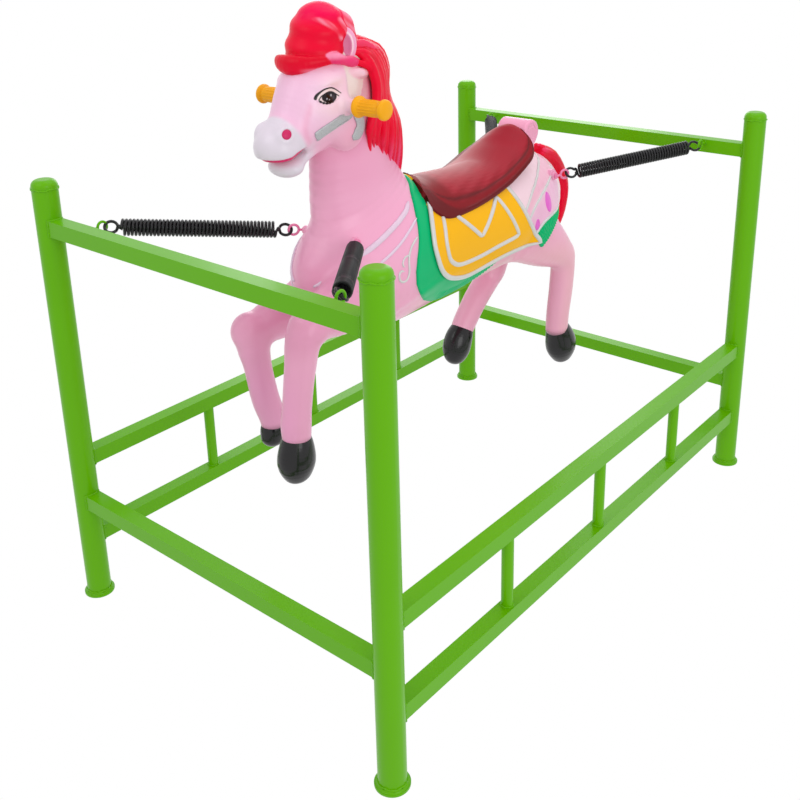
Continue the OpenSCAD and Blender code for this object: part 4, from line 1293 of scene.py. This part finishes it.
def spring_wire(a, b, hand, lean):
    """Wire of a spring from a to b, with its loops leaning by lean degrees, and the index of its middle."""
    reach = np.linalg.norm(b - a)
    along = unit(b - a)
    side = hand * unit(np.cross(along, [0, 0, 1]))
    up = np.cross(side, along)
    lean = math.radians(lean)
    mid = EYE_R - WIRE_R - 0.0002 + LOOP_R
    round_it = [(LOOP_R * math.cos(t), LOOP_R * math.sin(t)) for t in np.radians(np.arange(-172, 151, 14))]
    loop = [[mid - c, s * math.cos(lean), s * math.sin(lean)] for c, s in round_it]
    lead = [[HOOK - 0.0052, 0.0062, 0.0050], [HOOK - 0.0022, 0.0122, 0.0022]]
    t = np.linspace(0, 1, TURNS * 20 + 1)
    turn = t * TURNS * 2 * math.pi
    coil = np.column_stack([HOOK + (reach - 2 * HOOK) * t, COIL_R * np.cos(turn), COIL_R * np.sin(turn)])
    head = np.array(loop + lead)
    tail_end = head[::-1] * [-1, 1, 1] + [reach, 0, 0]
    first = smooth_rows(head, 3)
    pts = np.vstack([first, coil, smooth_rows(tail_end, 3)])
    return a + pts[:, :1] * along + pts[:, 1:2] * side + pts[:, 2:] * up, len(first) + len(coil) // 2


black_wire = material("spring_black", (20, 20, 23), 0.34, metal=0.2, coat=0.12, vary=0.2, scale=120,
                      fine=0.2,
                      fine_scale=900)


def spring_piece(name, wire, start, end, node):
    piece = mesh_object(name, *tube_arrays(wire, WIRE_R, WIRE_R, 8))
    piece.data.materials.append(black_wire)
    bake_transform(piece)
    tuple(start)
    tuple(end)
    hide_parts(node)


FRAME_EYE = np.array([0.293, 0.6025, 0.799])
BARS = {"front": (np.array([0.065, -0.318, 0.763]), -1), "rear": (np.array([0.083, 0.320, 0.754]), 1)}
for bar_name, (bar, sy) in BARS.items():
    for sx, word in SIDES:
        anchor = FRAME_EYE * [sx, sy, 1]
        bar_end = bar * [sx, 1, 1]
        eye = bar_end + 0.022 * unit(anchor - bar_end)
        wire, middle = spring_wire(anchor, eye, sx * sy, 45 * sy)
        node = "spring_%s_%s" % (bar_name, word)
        along = unit(eye - anchor)
        start, stop = anchor + along * (HOOK - 0.004), eye - along * (HOOK - 0.004)
        if bar_name == "rear":
            spring_piece(node + "_wire", wire, start, stop, node)
        else:
            mid = (start + stop) / 2
            spring_piece(node + "_outer", wire[:middle + 1], start, mid, node)
            spring_piece(node + "_inner", wire[middle:], mid, stop, node)

# Frame: paint on the CAD nodes, and weld beads round the joints
green_paint = material("frame_green", (100, 178, 0), 0.30, coat=0.06, coat_rough=0.10, vary=0.03, scale=7,
                       fine=0.03, fine_scale=120, spec=0.15)
eye_pink = material("eye_pink", (238, 130, 176), 0.3, coat=0.3, vary=0.08, scale=90, fine=0.2,
                    fine_scale=500)
steel = material("steel", (170, 170, 172), 0.35, metal=0.9, vary=0.08)
bar_pink = material("bar_pink", (244, 172, 204), 0.3, coat=0.1, vary=0.04, scale=40)
slots = {s["node"]: s["material_slot"] for s in frame["record"]["subparts"]}
looks = {"frame_paint": green_paint, "eye_paint": eye_pink, "steel": steel, "spring_black": black_wire}
pink_nodes = ("front_cross_bar", "rear_cross_bar", "rear_sleeve")
for name, ob in frame["nodes"].items():
    look = bar_pink if name in pink_nodes else looks.get(slots[name], steel)
    ob.data.materials.clear()
    ob.data.materials.append(look)

POST_R, RAIL = 0.024, 0.015
POST_X, POST_Y = 0.4, 0.6425
END_RAILS, SIDE_RAILS = (0.807, 0.236), (0.323, 0.149)  # heights of their upper faces
BALUSTER_R, BALUSTER_ENDS = 0.0112, (0.1496, 0.2924)
EYE_SEAM_R = 0.0032
CAP_SEAM, FOOT_SEAM = (0.8635, POST_R + 0.0002, 0.0016), (0.0090, POST_R + 0.0004, 0.0022)
FIRST_SEED = 4
beads = []


def bead(path, r):
    """Adds a weld bead with the ripples of a hand-run weld."""
    n = len(path)
    rng = np.random.default_rng(FIRST_SEED + len(beads))
    t = np.arange(n)
    ripple = 1 + 0.16 * np.sin(t * 2 * math.pi / 5 + rng.uniform(0, 6)) + 0.10 * rng.standard_normal(n)
    beads.append(tube_arrays(path, r * ripple, r * ripple, 8, closed=True))


def square_on_post(centre, toward, z):
    """Line where a square tube running along toward meets a round post."""
    t = np.array(toward, float)
    s = np.array([-t[1], t[0]])
    out = []
    corners = [(-RAIL, -RAIL), (RAIL, -RAIL), (RAIL, RAIL), (-RAIL, RAIL)]
    for (u0, w0), (u1, w1) in zip(corners, corners[1:] + corners[:1]):
        for f in np.arange(16) / 16:
            u, w = u0 + (u1 - u0) * f, w0 + (w1 - w0) * f
            p = np.array(centre) + t * (math.sqrt(POST_R ** 2 - u * u) + 0.0006) + s * u
            out.append([p[0], p[1], z + w])
    return out


def circle(points, r):
    """Angles round a circle, and its two coordinates."""
    a = np.arange(points) * 2 * math.pi / points
    return a, r * np.cos(a), r * np.sin(a)


for x, y in [(sx * POST_X, sy * POST_Y) for sx in (-1, 1) for sy in (-1, 1)]:
    for z in END_RAILS:
        bead(square_on_post((x, y), (-np.sign(x), 0), z - RAIL), 0.0021)
    for z in SIDE_RAILS:
        bead(square_on_post((x, y), (0, -np.sign(y)), z - RAIL), 0.0021)
    for z, r, size in (CAP_SEAM, FOOT_SEAM):
        a, u, w = circle(72, r)
        seed = FIRST_SEED + len(beads)
        jig = 0.0008 * np.sin(a * 5 + seed) + 0.0005 * np.sin(a * 11 + seed * 2)
        bead(np.column_stack([x + u, y + w, z + jig]), size)
a, u, w = circle(40, BALUSTER_R)
for x in (-POST_X, POST_X):
    for y in (-POST_Y / 2, 0, POST_Y / 2):
        for z in BALUSTER_ENDS:
            bead(np.column_stack([x + u, y + w, z + 0 * a]), 0.0018)
a, u, w = circle(18, EYE_SEAM_R)
for sx in (-1, 1):
    for sy in (-1, 1):
        wall = sy * (POST_Y - RAIL - 0.0004)
        bead(np.column_stack([sx * FRAME_EYE[0] + u, wall + 0 * a, FRAME_EYE[2] + w]), 0.0017)
finish_piece(mesh_object("weld_beads", *join(beads)), green_paint, "frame", "frame_paint")

# Light, background and camera
scene = bpy.context.scene
scene.view_settings.view_transform = "Standard"
world = bpy.data.worlds.new("white")
scene.world = world
world.use_nodes = True
nt = world.node_tree
nt.nodes.clear()
out = add_node(nt, "OutputWorld")
light = add_node(nt, "Background", Color=(1, 1, 1, 1), Strength=0.74)
seen = add_node(nt, "Background", Color=(1, 1, 1, 1), Strength=1.0)
path = add_node(nt, "LightPath")
pick = add_node(nt, "MixShader")
shown = path.outputs["Is Camera Ray"]
for ray in ("Is Glossy Ray", "Is Transmission Ray"):
    either = add_node(nt, "Math")
    either.operation = "MAXIMUM"
    nt.links.new(shown, either.inputs[0])
    nt.links.new(path.outputs[ray], either.inputs[1])
    shown = either.outputs["Value"]
nt.links.new(shown, pick.inputs["Fac"])
nt.links.new(light.outputs["Background"], pick.inputs[1])
nt.links.new(seen.outputs["Background"], pick.inputs[2])
nt.links.new(pick.outputs["Shader"], out.inputs["Surface"])


def area(name, at, look_at, size, power):
    lamp = bpy.data.lights.new(name, "AREA")
    lamp.shape = "SQUARE"
    lamp.size = size
    lamp.energy = power
    ob = bpy.data.objects.new(name, lamp)
    scene.collection.objects.link(ob)
    ob.location = at
    ob.rotation_mode = "QUATERNION"
    ob.rotation_quaternion = Vector(unit(np.subtract(look_at, at))).to_track_quat("-Z", "Y")


area("key", (-0.6, -2.6, 3.2), (0, 0, 0.6), 1.8, 14)
area("fill", (3.4, -1.2, 1.5), (0, 0, 0.5), 2.0, 28)
area("top", (0.2, 0.6, 3.4), (0, 0, 0.5), 2.2, 16)
area("rim", (-2.4, 3.0, 1.7), (0, 0, 0.6), 2.6, 34)

# The camera as solved from the photo
CAMERA_AT = (1.26375, -1.60762, 1.33527)
AZIMUTH, ELEVATION, ROLL = math.radians(40.413), math.radians(18.882), math.radians(-1.359)
cam = bpy.data.cameras.new("camera")
cam.sensor_width = 36
cam.lens = 46.396
cam.shift_y = -0.17875
camera = bpy.data.objects.new("camera", cam)
scene.collection.objects.link(camera)
scene.camera = camera
back = np.array([math.sin(AZIMUTH) * math.cos(ELEVATION), -math.cos(AZIMUTH) * math.cos(ELEVATION),
                 math.sin(ELEVATION)])
right = np.array([math.cos(AZIMUTH), math.sin(AZIMUTH), 0.0])
up = np.cross(back, right)
cam_x = math.cos(ROLL) * right + math.sin(ROLL) * up
cam_y = -math.sin(ROLL) * right + math.cos(ROLL) * up
m = Matrix.Identity(4)
for r in range(3):
    m[r][0], m[r][1], m[r][2], m[r][3] = cam_x[r], cam_y[r], back[r], CAMERA_AT[r]
camera.matrix_world = m
